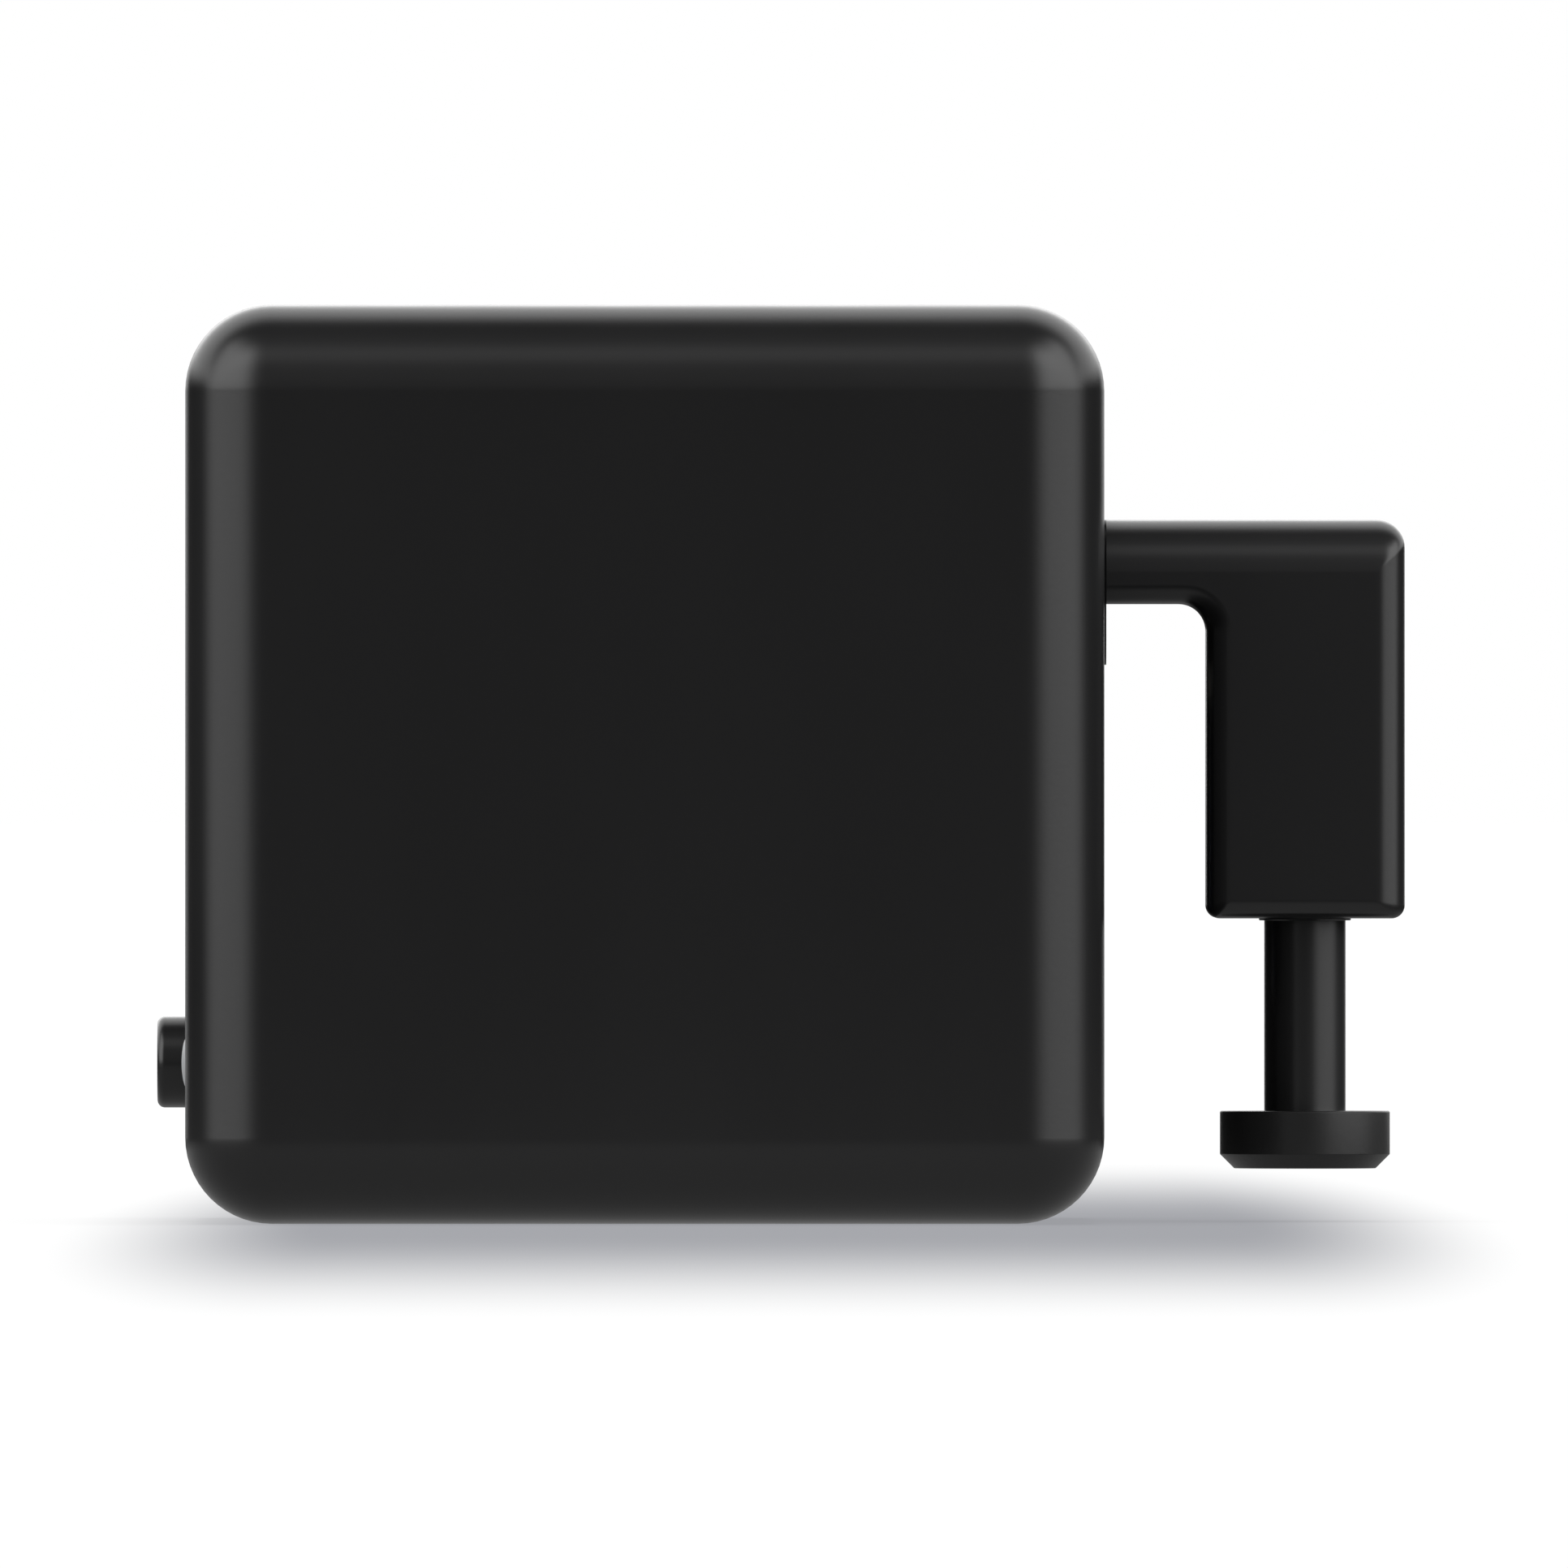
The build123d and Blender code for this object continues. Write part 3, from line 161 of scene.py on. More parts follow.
class Finishes(PropertyGroup):
    body_black: colour("Body black", "Satin black of shell, cover and arm", 0.0062, 0.0062, 0.0064)
    rubber_black: colour("Rubber black", "Black of the foot", 0.006, 0.006, 0.0061)
    body_roughness: share("Body roughness", "Roughness of the satin plastic", 0.26)
    grain: length("Grain", "Size of the moulded grain", 0.16)
    grain_depth: length("Grain depth", "Height of the moulded grain", 0.0012)
    lens_pale: colour("Lens", "Frosted lens", 0.34, 0.345, 0.355)
    chassis_grey: colour("Chassis grey", "Glass-filled plastic of chassis and plate", 0.07, 0.07, 0.073)
    acetal_white: colour("Acetal", "Off-white of gears and carriage", 0.74, 0.72, 0.66)
    brass: colour("Brass", "Motor pinion", 0.76, 0.56, 0.26)
    steel: colour("Steel", "Pins, cans and screws", 0.62, 0.62, 0.63)
    nickel: colour("Nickel", "Contacts and terminals", 0.68, 0.65, 0.59)
    mask_green: colour("Solder mask", "Green of the board", 0.012, 0.095, 0.042)
    wrap_blue: colour("Battery wrap", "Plain shrink wrap of the battery", 0.03, 0.085, 0.27)


class StudioSettings(PropertyGroup):
    distance: length("Distance", "From the camera to the middle of the part", 2000.0)
    view_width: length("View width", "Width that the picture takes in at the part", 58.4)
    aim_x: length("Aim across", "Where the camera looks, across", 5.15)
    aim_z: length("Aim up", "Where the camera looks, above the floor", 16.27)
    front_light: level("Front light", "Brightness of the studio in front of the part", 0.275)
    side_light: level("Side light", "Brightness of the tall panels at both sides", 2.55)
    back_light: level("Back light", "Brightness of the white space behind the part", 1.0)
    top_light: level("Top light", "Brightness of the broad panel above and behind", 1.65)
    high_light: level("High light", "Brightness of the soft patch high in front", 0.45)
    near_floor: level("Near floor", "Brightness of the shaded floor that the part sees below itself", 0.4)
    floor_glow: share("Floor glow", "Part of the floor's white that no shadow falls on", 0.87)
    floor_tone: share("Floor tone", "How much light the floor returns to the camera", 0.0295)
    floor_lamp: level("Floor lamp", "Strength of the lamp overhead that lights the floor alone", 11.5)
    floor_soft: angle("Floor lamp softness", "Width of that lamp, which softens the shadow", 30.0)
    # the pool of shade set here is painted into the floor's colour, not cast by a lamp
    shade_width: length("Shade width", "Half the width of the floor's pool of shade, without its edge", 15.9)
    shade_edge: length("Shade edge", "Soft edge of the pool of shade to both sides", 10.2)
    shade_reach: length("Shade reach", "Depth of the pool of shade to front and back", 330.0)
    shade_colour: colour("Shade colour", "Cool grey of the shaded floor, as a share of its white",
                         0.38, 0.386, 0.412)


class PusherSettings(PropertyGroup):
    housing: PointerProperty(type=HousingSizes, name="Housing")
    arm: PointerProperty(type=ArmSizes, name="Arm")
    controls: PointerProperty(type=ControlSizes, name="Controls")
    board: PointerProperty(type=BoardSizes, name="Board")
    finish: PointerProperty(type=Finishes, name="Finishes")
    studio: PointerProperty(type=StudioSettings, name="Studio")


# Outlines and solids

def seen_front(u, v, w):
    """Outline across and up, depth along Y"""
    return Vector((u, w, v))


def seen_side(u, v, w):
    """Outline along Y and up, depth along X"""
    return Vector((w, u, v))


def seen_above(u, v, w):
    """Outline across and back, depth along Z"""
    return Vector((u, v, w))


def rounded(corners, radii, steps):
    """Closed outline with an arc of the given radius at each corner"""
    outline = []
    count = len(corners)
    for index, (corner, radius) in enumerate(zip(corners, radii)):
        here = Vector(corner)
        before = (Vector(corners[index - 1]) - here).normalized()
        after = (Vector(corners[(index + 1) % count]) - here).normalized()
        if radius <= 0:
            outline.append(tuple(here))
            continue
        half = before.angle(after) / 2
        centre = here + (before + after).normalized() * (radius / math.sin(half))
        first = here + before * (radius / math.tan(half)) - centre
        last = here + after * (radius / math.tan(half)) - centre
        sweep = first.angle_signed(last)
        start = math.atan2(first.y, first.x)
        for step in range(steps + 1):
            turn = start - sweep * step / steps
            outline.append((centre.x + radius * math.cos(turn), centre.y + radius * math.sin(turn)))
    return outline


def blend(value):
    """Eases from 0 to 1"""
    return value * value * (3 - 2 * value)


def quarter(steps):
    """Angles of a quarter turn, with both its ends"""
    return [math.pi / 2 * step / steps for step in range(steps + 1)]


def slab_outline(low, high, radius=0.0, steps=1):
    """Rectangle between two corners, rounded where a radius is given"""
    corners = [(low[0], low[1]), (high[0], low[1]), (high[0], high[1]), (low[0], high[1])]
    return rounded(corners, [radius] * len(corners), steps)


def circle(centre, radius, steps=64):
    """Outline of evenly spaced points"""
    return [(centre[0] + radius * math.cos(TURN * step / steps),
             centre[1] + radius * math.sin(TURN * step / steps)) for step in range(steps)]


def growing_circle(centre, radius, steps=64):
    """Circle for any growth that flared asks for"""
    return lambda grow: circle(centre, radius + grow, steps)


def growing_slab(low, high, radius, steps):
    """Rounded rectangle for any growth"""
    return lambda grow: slab_outline((low[0] - grow, low[1] - grow), (high[0] + grow, high[1] + grow),
                                     radius + grow, steps)


def skin(rings, closed=False):
    """Solid through rings of as many points each: capped at both ends, or closed on itself as a tube is"""
    bm = bmesh.new()
    loops = [[bm.verts.new(point) for point in ring] for ring in rings]
    count = len(loops[0])
    for near, far in zip(loops, loops[1:] + loops[:1] if closed else loops[1:]):
        for index in range(count):
            after = (index + 1) % count
            bm.faces.new((near[index], near[after], far[after], far[index]))
    if not closed:
        bm.faces.new(loops[0])
        bm.faces.new(loops[-1])
    return bm


def prism(outline, low, high, place):
    """Solid with the same outline all along"""
    return skin([[place(u, v, w) for u, v in outline] for w in (low, high)])


def flared(outline_at, mouth, far, rim, place):
    """Cutting solid whose mouth opens by a quarter round, so that it leaves a soft rim"""
    way = 1 if far > mouth else -1
    sections = [(mouth - way * OVERRUN, rim), (mouth, rim)]
    sections += [(mouth + way * rim * (1 - math.cos(turn)), rim * (1 - math.sin(turn)))
                 for turn in quarter(5)[1:]]
    sections.append((far, 0.0))
    return skin([[place(u, v, w) for u, v in outline_at(grow)] for w, grow in sections])


def turned(profile, spot, place, steps=96):
    """Solid turned from a profile of radius and height, which starts and ends on its axis"""
    bm = bmesh.new()
    rings = []
    for radius, height in profile:
        if radius <= 0:
            rings.append([bm.verts.new(place(spot[0], spot[1], height))])
        else:
            rings.append([bm.verts.new(place(u, v, height)) for u, v in circle(spot, radius, steps)])
    for near, far in zip(rings, rings[1:]):
        for index in range(steps):
            after = (index + 1) % steps
            corners = {near[index % len(near)]: 0, near[after % len(near)]: 0,
                       far[after % len(far)]: 0, far[index % len(far)]: 0}
            if len(corners) > 2:
                bm.faces.new(list(corners))
    return bm


def round_box(low, high, radius, steps):
    """Box with all edges and corners rounded alike"""
    bm = bmesh.new()
    corners = [[[bm.verts.new((x, y, z)) for z in (low.z, high.z)] for y in (low.y, high.y)]
               for x in (low.x, high.x)]
    for near in (0, 1):
        bm.faces.new([corners[near][a][b] for a, b in ((0, 0), (0, 1), (1, 1), (1, 0))])
        bm.faces.new([corners[a][near][b] for a, b in ((0, 0), (0, 1), (1, 1), (1, 0))])
        bm.faces.new([corners[a][b][near] for a, b in ((0, 0), (0, 1), (1, 1), (1, 0))])
    bmesh.ops.recalc_face_normals(bm, faces=bm.faces)
    bmesh.ops.bevel(bm, geom=bm.edges[:], offset=radius, segments=steps, profile=0.5,
                    affect="EDGES", clamp_overlap=False)
    return bm


def put(name, data):
    """New object in the scene"""
    piece = bpy.data.objects.new(name, data)
    bpy.context.scene.collection.objects.link(piece)
    return piece


def piece_from(bm, name):
    """Object in the scene, made from a finished bmesh"""
    bmesh.ops.recalc_face_normals(bm, faces=bm.faces)
    mesh = bpy.data.meshes.new(name)
    bm.to_mesh(mesh)
    bm.free()
    return put(name, mesh)


def settle(piece):
    """Turns the piece's modifiers into plain mesh"""
    seen = piece.evaluated_get(bpy.context.evaluated_depsgraph_get())
    mesh = bpy.data.meshes.new_from_object(seen)
    old = piece.data
    piece.modifiers.clear()
    piece.data = mesh
    bpy.data.meshes.remove(old)
    mesh.name = piece.name


def join_or_cut(piece, operation, *tools):
    """Exact booleans with solids that are used up"""
    for number, bm in enumerate(tools):
        tool = piece_from(bm, f"{piece.name}_tool_{number}")
        change = piece.modifiers.new("change", "BOOLEAN")
        change.operation = operation
        change.solver = "EXACT"
        change.object = tool
        settle(piece)
        bpy.data.objects.remove(tool)
    # closes the seams where a boolean leaves points on top of each other
    bm = bmesh.new()
    bm.from_mesh(piece.data)
    bmesh.ops.remove_doubles(bm, verts=bm.verts, dist=MERGE)
    bmesh.ops.dissolve_degenerate(bm, edges=bm.edges, dist=MERGE)
    bm.to_mesh(piece.data)
    bm.free()


def finish(piece, body, slot, look, *nodes):
    """Smooth shading, finish and the piece's place in the frame"""
    mesh = piece.data
    mesh.materials.clear()
    mesh.materials.append(finish_of(look))
    mesh.polygons.foreach_set("material_index", [0] * len(mesh.polygons))
    mesh.shade_smooth()
    mesh.set_sharp_from_angle(angle=SHARP)
    weighted = piece.modifiers.new("weighted_normals", "WEIGHTED_NORMAL")
    weighted.keep_sharp = True
    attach(piece, body)
    if nodes:
        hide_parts(*nodes)


def dress(look, *nodes):
    """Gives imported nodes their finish"""
    for node in nodes:
        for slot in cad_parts[node].material_slots:
            slot.material = finish_of(look)


# Nodes that all trees use

def add(tree, kind, inputs=None, **settings):
    """Adds a node, sets its options, and feeds its sockets with values or with other nodes' outputs"""
    node = tree.nodes.new(kind)
    for name, value in settings.items():
        setattr(node, name, value)
    for name, value in (inputs or {}).items():
        if isinstance(value, bpy.types.NodeSocket):
            tree.links.new(value, node.inputs[name])
        else:
            node.inputs[name].default_value = value
    return node


def empty_tree(owner):
    """Node tree of a material or world, without the nodes that it comes with"""
    owner.use_nodes = True
    owner.node_tree.nodes.clear()
    return owner.node_tree


def calc(tree, operation, first, second=0.0):
    """Output of a math node"""
    return add(tree, "ShaderNodeMath", {0: first, 1: second}, operation=operation).outputs[0]


def vector_length(tree, vector):
    """How long a vector is"""
    return add(tree, "ShaderNodeVectorMath", {0: vector}, operation="LENGTH").outputs["Value"]


def axes_of(tree, vector):
    """A vector's X, Y and Z"""
    return add(tree, "ShaderNodeSeparateXYZ", {0: vector}).outputs


def vector_of(tree, x=0.0, y=0.0, z=0.0):
    """Vector from its X, Y and Z"""
    return add(tree, "ShaderNodeCombineXYZ", {"X": x, "Y": y, "Z": z}).outputs[0]


def mapped(tree, value, start, end, low=0.0, high=1.0, interpolation="LINEAR"):
    """Runs from low to high while a value goes from start to end"""
    return add(tree, "ShaderNodeMapRange", {"Value": value, "From Min": start, "From Max": end,
                                            "To Min": low, "To Max": high},
               interpolation_type=interpolation).outputs[0]


def eased(tree, value, start, end, low=0.0, high=1.0):
    """Does the same with soft ends"""
    return mapped(tree, value, start, end, low, high, "SMOOTHSTEP")


def tint(tree, value, dark, light):
    """Colour that runs from dark to light with a pattern. Each is a colour or another node's output"""
    ends = [end if isinstance(end, bpy.types.NodeSocket) else (*end, 1) for end in (dark, light)]
    return add(tree, "ShaderNodeMix", {0: value, 6: ends[0], 7: ends[1]}, data_type="RGBA").outputs[2]


# Materials: each surface feeds the sockets of a principled shader

def noise(tree, place, size, detail=2.0, stretch=None):
    """Noise whose patches are about as large as size, drawn out along an axis where stretch says so"""
    if stretch:
        place = add(tree, "ShaderNodeMapping", {"Vector": place, "Scale": stretch}).outputs[0]
    return add(tree, "ShaderNodeTexNoise",
               {"Vector": place, "Scale": 1 / size, "Detail": detail, "Roughness": 0.55}).outputs["Fac"]


def cells(tree, place, size, randomness=1.0):
    """Distance from the middles of cells that are about as large as size"""
    return add(tree, "ShaderNodeTexVoronoi",
               {"Vector": place, "Scale": 1 / size, "Randomness": randomness}).outputs["Distance"]


def spread(tree, value, low, high):
    """Spreads a noise's middle range over low to high"""
    return mapped(tree, value, 0.3, 0.7, low, high)


def relief(tree, height, depth):
    """Fine relief of a given depth"""
    return add(tree, "ShaderNodeBump", {"Height": height, "Distance": depth, "Strength": 1.0}).outputs[0]


def shade(base, amount):
    """The same colour, darker or lighter"""
    return tuple(channel * amount for channel in base)


def lit_within(weight, *reach):
    """Sockets for light that enters and spreads, with its reach in red, green and blue"""
    return {"Subsurface Weight": weight, "Subsurface Radius": reach, "Subsurface Scale": 1.0}


def moulded(tree, place, base, roughness, grain, depth):
    """Moulded plastic: fine spark grain, faint flow marks and handling patches"""
    patches = noise(tree, place, 9 * mm, 3.0)
    flow = noise(tree, place, 5 * mm, 2.0, (1.0, 1.0, 0.35))
    return {"Base Color": tint(tree, patches, shade(base, 0.93), shade(base, 1.07)),
            "Roughness": spread(tree, flow, roughness - 0.012, roughness + 0.012),
            "Normal": relief(tree, noise(tree, place, grain), depth)}


def metal(tree, place, base, roughness, brush, stretch):
    """Metal with drawing or grinding marks along one axis and a few dull patches"""
    marks = noise(tree, place, brush, 4.0, stretch)
    patches = noise(tree, place, 2.5 * mm, 3.0)
    return {"Base Color": tint(tree, patches, shade(base, 0.86), base), "Metallic": 1.0,
            "Roughness": spread(tree, marks, roughness * 0.92, roughness * 1.12),
            "Normal": relief(tree, marks, 0.0012 * mm)}


def rubber(tree, place, base):
    """Matt rubber with pores and a trace of bloom"""
    bloom = noise(tree, place, 3 * mm, 4.0)
    return {"Base Color": tint(tree, bloom, base, shade(base, 1.35)), "Specular IOR Level": 0.38,
            "Roughness": spread(tree, bloom, 0.36, 0.44),
            "Normal": relief(tree, cells(tree, place, 0.22 * mm), 0.002 * mm)}


def frosted(tree, place, base):
    """Frosted plastic with a faint cloudiness, which lets a little light in"""
    cloud = noise(tree, place, 0.6 * mm, 3.0)
    return {"Base Color": tint(tree, cloud, shade(base, 0.92), base),
            "Roughness": spread(tree, cloud, 0.42, 0.5), **lit_within(0.35, 0.5 * mm, 0.5 * mm, 0.6 * mm),
            "Normal": relief(tree, noise(tree, place, 0.05 * mm), 0.001 * mm)}


def acetal(tree, place, base):
    """Waxy off-white acetal with a little light in it"""
    patches = noise(tree, place, 3 * mm, 3.0)
    return {"Base Color": tint(tree, patches, shade(base, 0.94), base),
            "Roughness": spread(tree, patches, 0.3, 0.38), **lit_within(0.15, 0.6 * mm, 0.5 * mm, 0.35 * mm),
            "Normal": relief(tree, noise(tree, place, 0.09 * mm), 0.0008 * mm)}


def fibre_filled(tree, place, base):
    """Glass-filled plastic: pale short fibres near the surface"""
    fibres = noise(tree, place, 0.12 * mm, 5.0, (1.0, 1.0, 0.25))
    pale = mapped(tree, fibres, 0.5, 0.78)
    return {"Base Color": tint(tree, pale, shade(base, 0.92), shade(base, 1.5)),
            "Roughness": spread(tree, noise(tree, place, 4 * mm, 3.0), 0.46, 0.56),
            "Normal": relief(tree, fibres, 0.002 * mm)}


def tracks_along(tree, across, along, pitch, run, width):
    """1 on copper tracks that follow one axis: some of the evenly spaced lines, each for some of its runs"""
    lane, stage = calc(tree, "DIVIDE", across, pitch), calc(tree, "DIVIDE", along, run)
    cell = vector_of(tree, calc(tree, "FLOOR", lane), calc(tree, "FLOOR", stage))
    chance = add(tree, "ShaderNodeTexWhiteNoise", {"Vector": cell}, noise_dimensions="2D").outputs["Value"]
    off_middle = calc(tree, "ABSOLUTE", calc(tree, "SUBTRACT", calc(tree, "FRACT", lane), 0.5))
    line = eased(tree, off_middle, width / pitch, 0.7 * width / pitch)
    return calc(tree, "MULTIPLY", calc(tree, "GREATER_THAN", chance, 0.52), line)


def solder_mask(tree, place, base, copper):
    """Green mask over copper tracks, which show as paler raised lines, and tinned holes between them"""
    axes, width = axes_of(tree, place), 0.1 * mm
    upright = tracks_along(tree, axes["Y"], axes["Z"], 0.62 * mm, 3.7 * mm, width)
    level_run = tracks_along(tree, axes["Z"], axes["Y"], 0.86 * mm, 2.9 * mm, width)
    tracks = calc(tree, "MAXIMUM", upright, level_run)
    flat = add(tree, "ShaderNodeMapping", {"Vector": place, "Scale": (0.0, 1.0, 1.0)}).outputs[0]
    holes = mapped(tree, cells(tree, flat, 2.1 * mm, 0.8), 0.115, 0.095)
    green = tint(tree, tracks, base, shade(base, 1.9))
    return {"Base Color": tint(tree, holes, green, copper), "Metallic": holes, "Coat Weight": 0.4,
            "Roughness": spread(tree, noise(tree, place, 2 * mm), 0.2, 0.3),
            "Normal": relief(tree, tracks, 0.02 * mm)}


def shrink_wrap(tree, place, base):
    """Shrink wrap: glossy, faintly rippled, with one plain paler band near the top"""
    ripple = noise(tree, place, 1.5 * mm, 3.0, (1.0, 1.0, 0.4))
    band = eased(tree, axes_of(tree, place)["Z"], 24.9 * mm, 25.1 * mm)
    return {"Base Color": tint(tree, band, base, (0.42, 0.44, 0.47)),
            "Roughness": spread(tree, ripple, 0.2, 0.3), "Normal": relief(tree, ripple, 0.012 * mm)}


def recipe(look):
    """Surface of a finish and its values, in the order in which the surface takes them"""
    chosen = bpy.context.scene.button_pusher.finish
    black, rough = tuple(chosen.body_black), chosen.body_roughness
    grain, depth = chosen.grain, chosen.grain_depth
    steel, nickel = tuple(chosen.steel), tuple(chosen.nickel)
    # how a metal's marks are drawn out along X, Y and Z
    even, across, backwards, upright = (1.0, 1.0, 1.0), (0.1, 1.0, 1.0), (1.0, 0.08, 1.0), (1.0, 1.0, 0.06)
    return {
        "housing": (moulded, black, rough, grain, depth),
        # painted light: the arm is the shell's satin black lightened by half, because under this studio's
        # light it renders darker than the shell
        "arm": (moulded, shade(black, 1.5), rough, grain, depth * 0.7),
        "button": (moulded, black, rough, grain * 0.7, depth * 0.7),
        "rod": (moulded, black, rough + 0.05, grain * 0.6, depth * 0.4),
        "collar": (moulded, shade(black, 1.2), rough - 0.02, grain * 0.6, depth * 0.4),
        "hub": (moulded, shade(black, 0.8), rough, grain * 0.7, depth * 0.5),
        "end_cap": (moulded, (0.02, 0.02, 0.021), 0.45, 0.1 * mm, 0.002 * mm),
        "compound": (moulded, (0.014, 0.014, 0.015), 0.5, 0.06 * mm, 0.002 * mm),
        "ceramic": (moulded, (0.30, 0.24, 0.17), 0.4, 0.05 * mm, 0.001 * mm),
        "core": (moulded, (0.12, 0.12, 0.125), 0.6, 0.2 * mm, 0.004 * mm),
        "foot": (rubber, tuple(chosen.rubber_black)),
        "lens": (frosted, tuple(chosen.lens_pale)),
        "chassis": (fibre_filled, tuple(chosen.chassis_grey)),
        "acetal": (acetal, tuple(chosen.acetal_white)),
        "brass": (metal, tuple(chosen.brass), 0.24, 0.05 * mm, backwards),
        "pin": (metal, shade(steel, 1.1), 0.12, 0.04 * mm, even),
        "can": (metal, steel, 0.26, 0.07 * mm, upright),
        "shield": (metal, shade(steel, 1.05), 0.3, 0.05 * mm, upright),
        "aluminium": (metal, shade(steel, 1.15), 0.2, 0.05 * mm, across),
        "nickel": (metal, nickel, 0.2, 0.06 * mm, across),
        "screw": (metal, shade(steel, 0.75), 0.32, 0.05 * mm, even),
        "solder": (metal, shade(steel, 1.1), 0.22, 0.1 * mm, even),
        "mask": (solder_mask, tuple(chosen.mask_green), nickel),
        "wrap": (shrink_wrap, tuple(chosen.wrap_blue)),
    }[look]


def finish_of(look):
    """A finish, made the first time that a piece asks for it. Its pattern is measured on the piece"""
    name = f"finish_{look}"
    material = bpy.data.materials.get(name)
    if material is None:
        material = bpy.data.materials.new(name)
        tree = empty_tree(material)
        place = add(tree, "ShaderNodeTexCoord").outputs["Object"]
        surface, *values = recipe(look)
        shader = add(tree, "ShaderNodeBsdfPrincipled", surface(tree, place, *values)).outputs["BSDF"]
        add(tree, "ShaderNodeOutputMaterial", {"Surface": shader})
    return material


# Geometry Nodes for what repeats

def node_group(name, sizes):
    """Empty geometry tree with named inputs: name, socket type and default. The finish comes last"""
    group = bpy.data.node_groups.new(name, "GeometryNodeTree")
    group.interface.new_socket("Geometry", in_out="INPUT", socket_type="NodeSocketGeometry")
    group.interface.new_socket("Geometry", in_out="OUTPUT", socket_type="NodeSocketGeometry")
    for label, kind, default in [*sizes, ("Finish", "Material", None)]:
        socket = group.interface.new_socket(label, in_out="INPUT", socket_type=f"NodeSocket{kind}")
        if default is not None:
            socket.default_value = default
    return group, add(group, "NodeGroupInput").outputs


def end_group(group, given, points, shape, **placing):
    """Puts the shape on the points, makes it real and gives it its finish"""
    placed = add(group, "GeometryNodeInstanceOnPoints",
                 {"Points": points, "Instance": shape, **placing}).outputs[0]
    real = add(group, "GeometryNodeRealizeInstances", {"Geometry": placed}).outputs[0]
    coated = add(group, "GeometryNodeSetMaterial", {"Geometry": real, "Material": given["Finish"]}).outputs[0]
    add(group, "NodeGroupOutput", {"Geometry": coated})
    return group


def run_group(name, points, group, look, values):
    """Runs a geometry tree on loose points and keeps the plain mesh that it makes"""
    mesh = bpy.data.meshes.new(name)
    mesh.from_pydata([tuple(point) for point in points], [], [])
    piece = put(name, mesh)
    change = piece.modifiers.new("repeat", "NODES")
    change.node_group = group
    values = {**values, "Finish": finish_of(look)}
    for socket in group.interface.items_tree:
        if socket.in_out == "INPUT" and socket.name in values:
            change[socket.identifier] = values[socket.name]
    settle(piece)
    return piece


def shifted(group, shape, x, z):
    """A shape moved across and up"""
    return add(group, "GeometryNodeTransform",
               {"Geometry": shape, "Translation": vector_of(group, x=x, z=z)}).outputs[0]


def socket_screw_group():
    """Socket-head screws on points, their heads towards the local +Z"""
    group, given = node_group("socket_screws", [
        ("Head Radius", "Float", 1.1 * mm), ("Head Height", "Float", 0.7 * mm),
        ("Shank Radius", "Float", 0.6 * mm), ("Shank Length", "Float", 3.0 * mm),
        ("Socket Radius", "Float", 0.55 * mm), ("Socket Depth", "Float", 0.5 * mm),
        ("Turn", "Rotation", None)])

    def cylinder(sides, radius, height):
        return add(group, "GeometryNodeMeshCylinder",
                   {"Vertices": sides, "Radius": radius, "Depth": height}).outputs["Mesh"]

    edge = calc(group, "MULTIPLY", given["Head Height"], 0.22)
    straight = calc(group, "SUBTRACT", given["Head Height"], edge)
    head = cylinder(40, given["Head Radius"], straight)
    slope = add(group, "GeometryNodeMeshCone", {
        "Vertices": 40, "Radius Top": calc(group, "SUBTRACT", given["Head Radius"], edge),
        "Radius Bottom": given["Head Radius"], "Depth": edge}).outputs["Mesh"]
    shank = cylinder(24, given["Shank Radius"], given["Shank Length"])
    socket = cylinder(6, given["Socket Radius"], calc(group, "MULTIPLY", given["Socket Depth"], 2.0))
    body = add(group, "GeometryNodeMeshBoolean", operation="UNION", solver="EXACT")
    # the shank reaches a hair into the head, so that the two join
    for part, height in ((head, calc(group, "MULTIPLY", straight, 0.5)), (slope, straight),
                         (shank, calc(group, "MULTIPLY", given["Shank Length"], -0.499))):
        group.links.new(shifted(group, part, 0.0, height), body.inputs["Mesh 2"])
    cut = add(group, "GeometryNodeMeshBoolean", {
        "Mesh 1": body.outputs[0], "Mesh 2": shifted(group, socket, 0.0, given["Head Height"])},
        operation="DIFFERENCE", solver="EXACT").outputs[0]
    return end_group(group, given, given["Geometry"], cut, Rotation=given["Turn"])


def lead_group():
    """Bent leads on points, each reaching from the chip's side down to the board"""
    group, given = node_group("chip_leads", [
        ("Width", "Float", 0.28 * mm), ("Reach", "Float", 0.55 * mm), ("Rise", "Float", 0.4 * mm),
        ("Thickness", "Float", 0.12 * mm), ("Turn", "Rotation", None)])

    def half(value):
        return calc(group, "MULTIPLY", value, 0.5)

    def bar(along, high, x, z):
        size = vector_of(group, along, given["Width"], high)
        return shifted(group, add(group, "GeometryNodeMeshCube", {"Size": size}).outputs["Mesh"], x, z)

    half_reach, thickness, rise = half(given["Reach"]), given["Thickness"], given["Rise"]
    outer_middle = calc(group, "ADD", half_reach, half(half_reach))
    joined = add(group, "GeometryNodeJoinGeometry")
    for part in (bar(half_reach, thickness, half(half_reach), rise),
                 bar(thickness, rise, half_reach, half(rise)),
                 bar(half_reach, thickness, outer_middle, half(thickness))):
        group.links.new(part, joined.inputs[0])
    return end_group(group, given, given["Geometry"], joined.outputs[0], Rotation=given["Turn"])


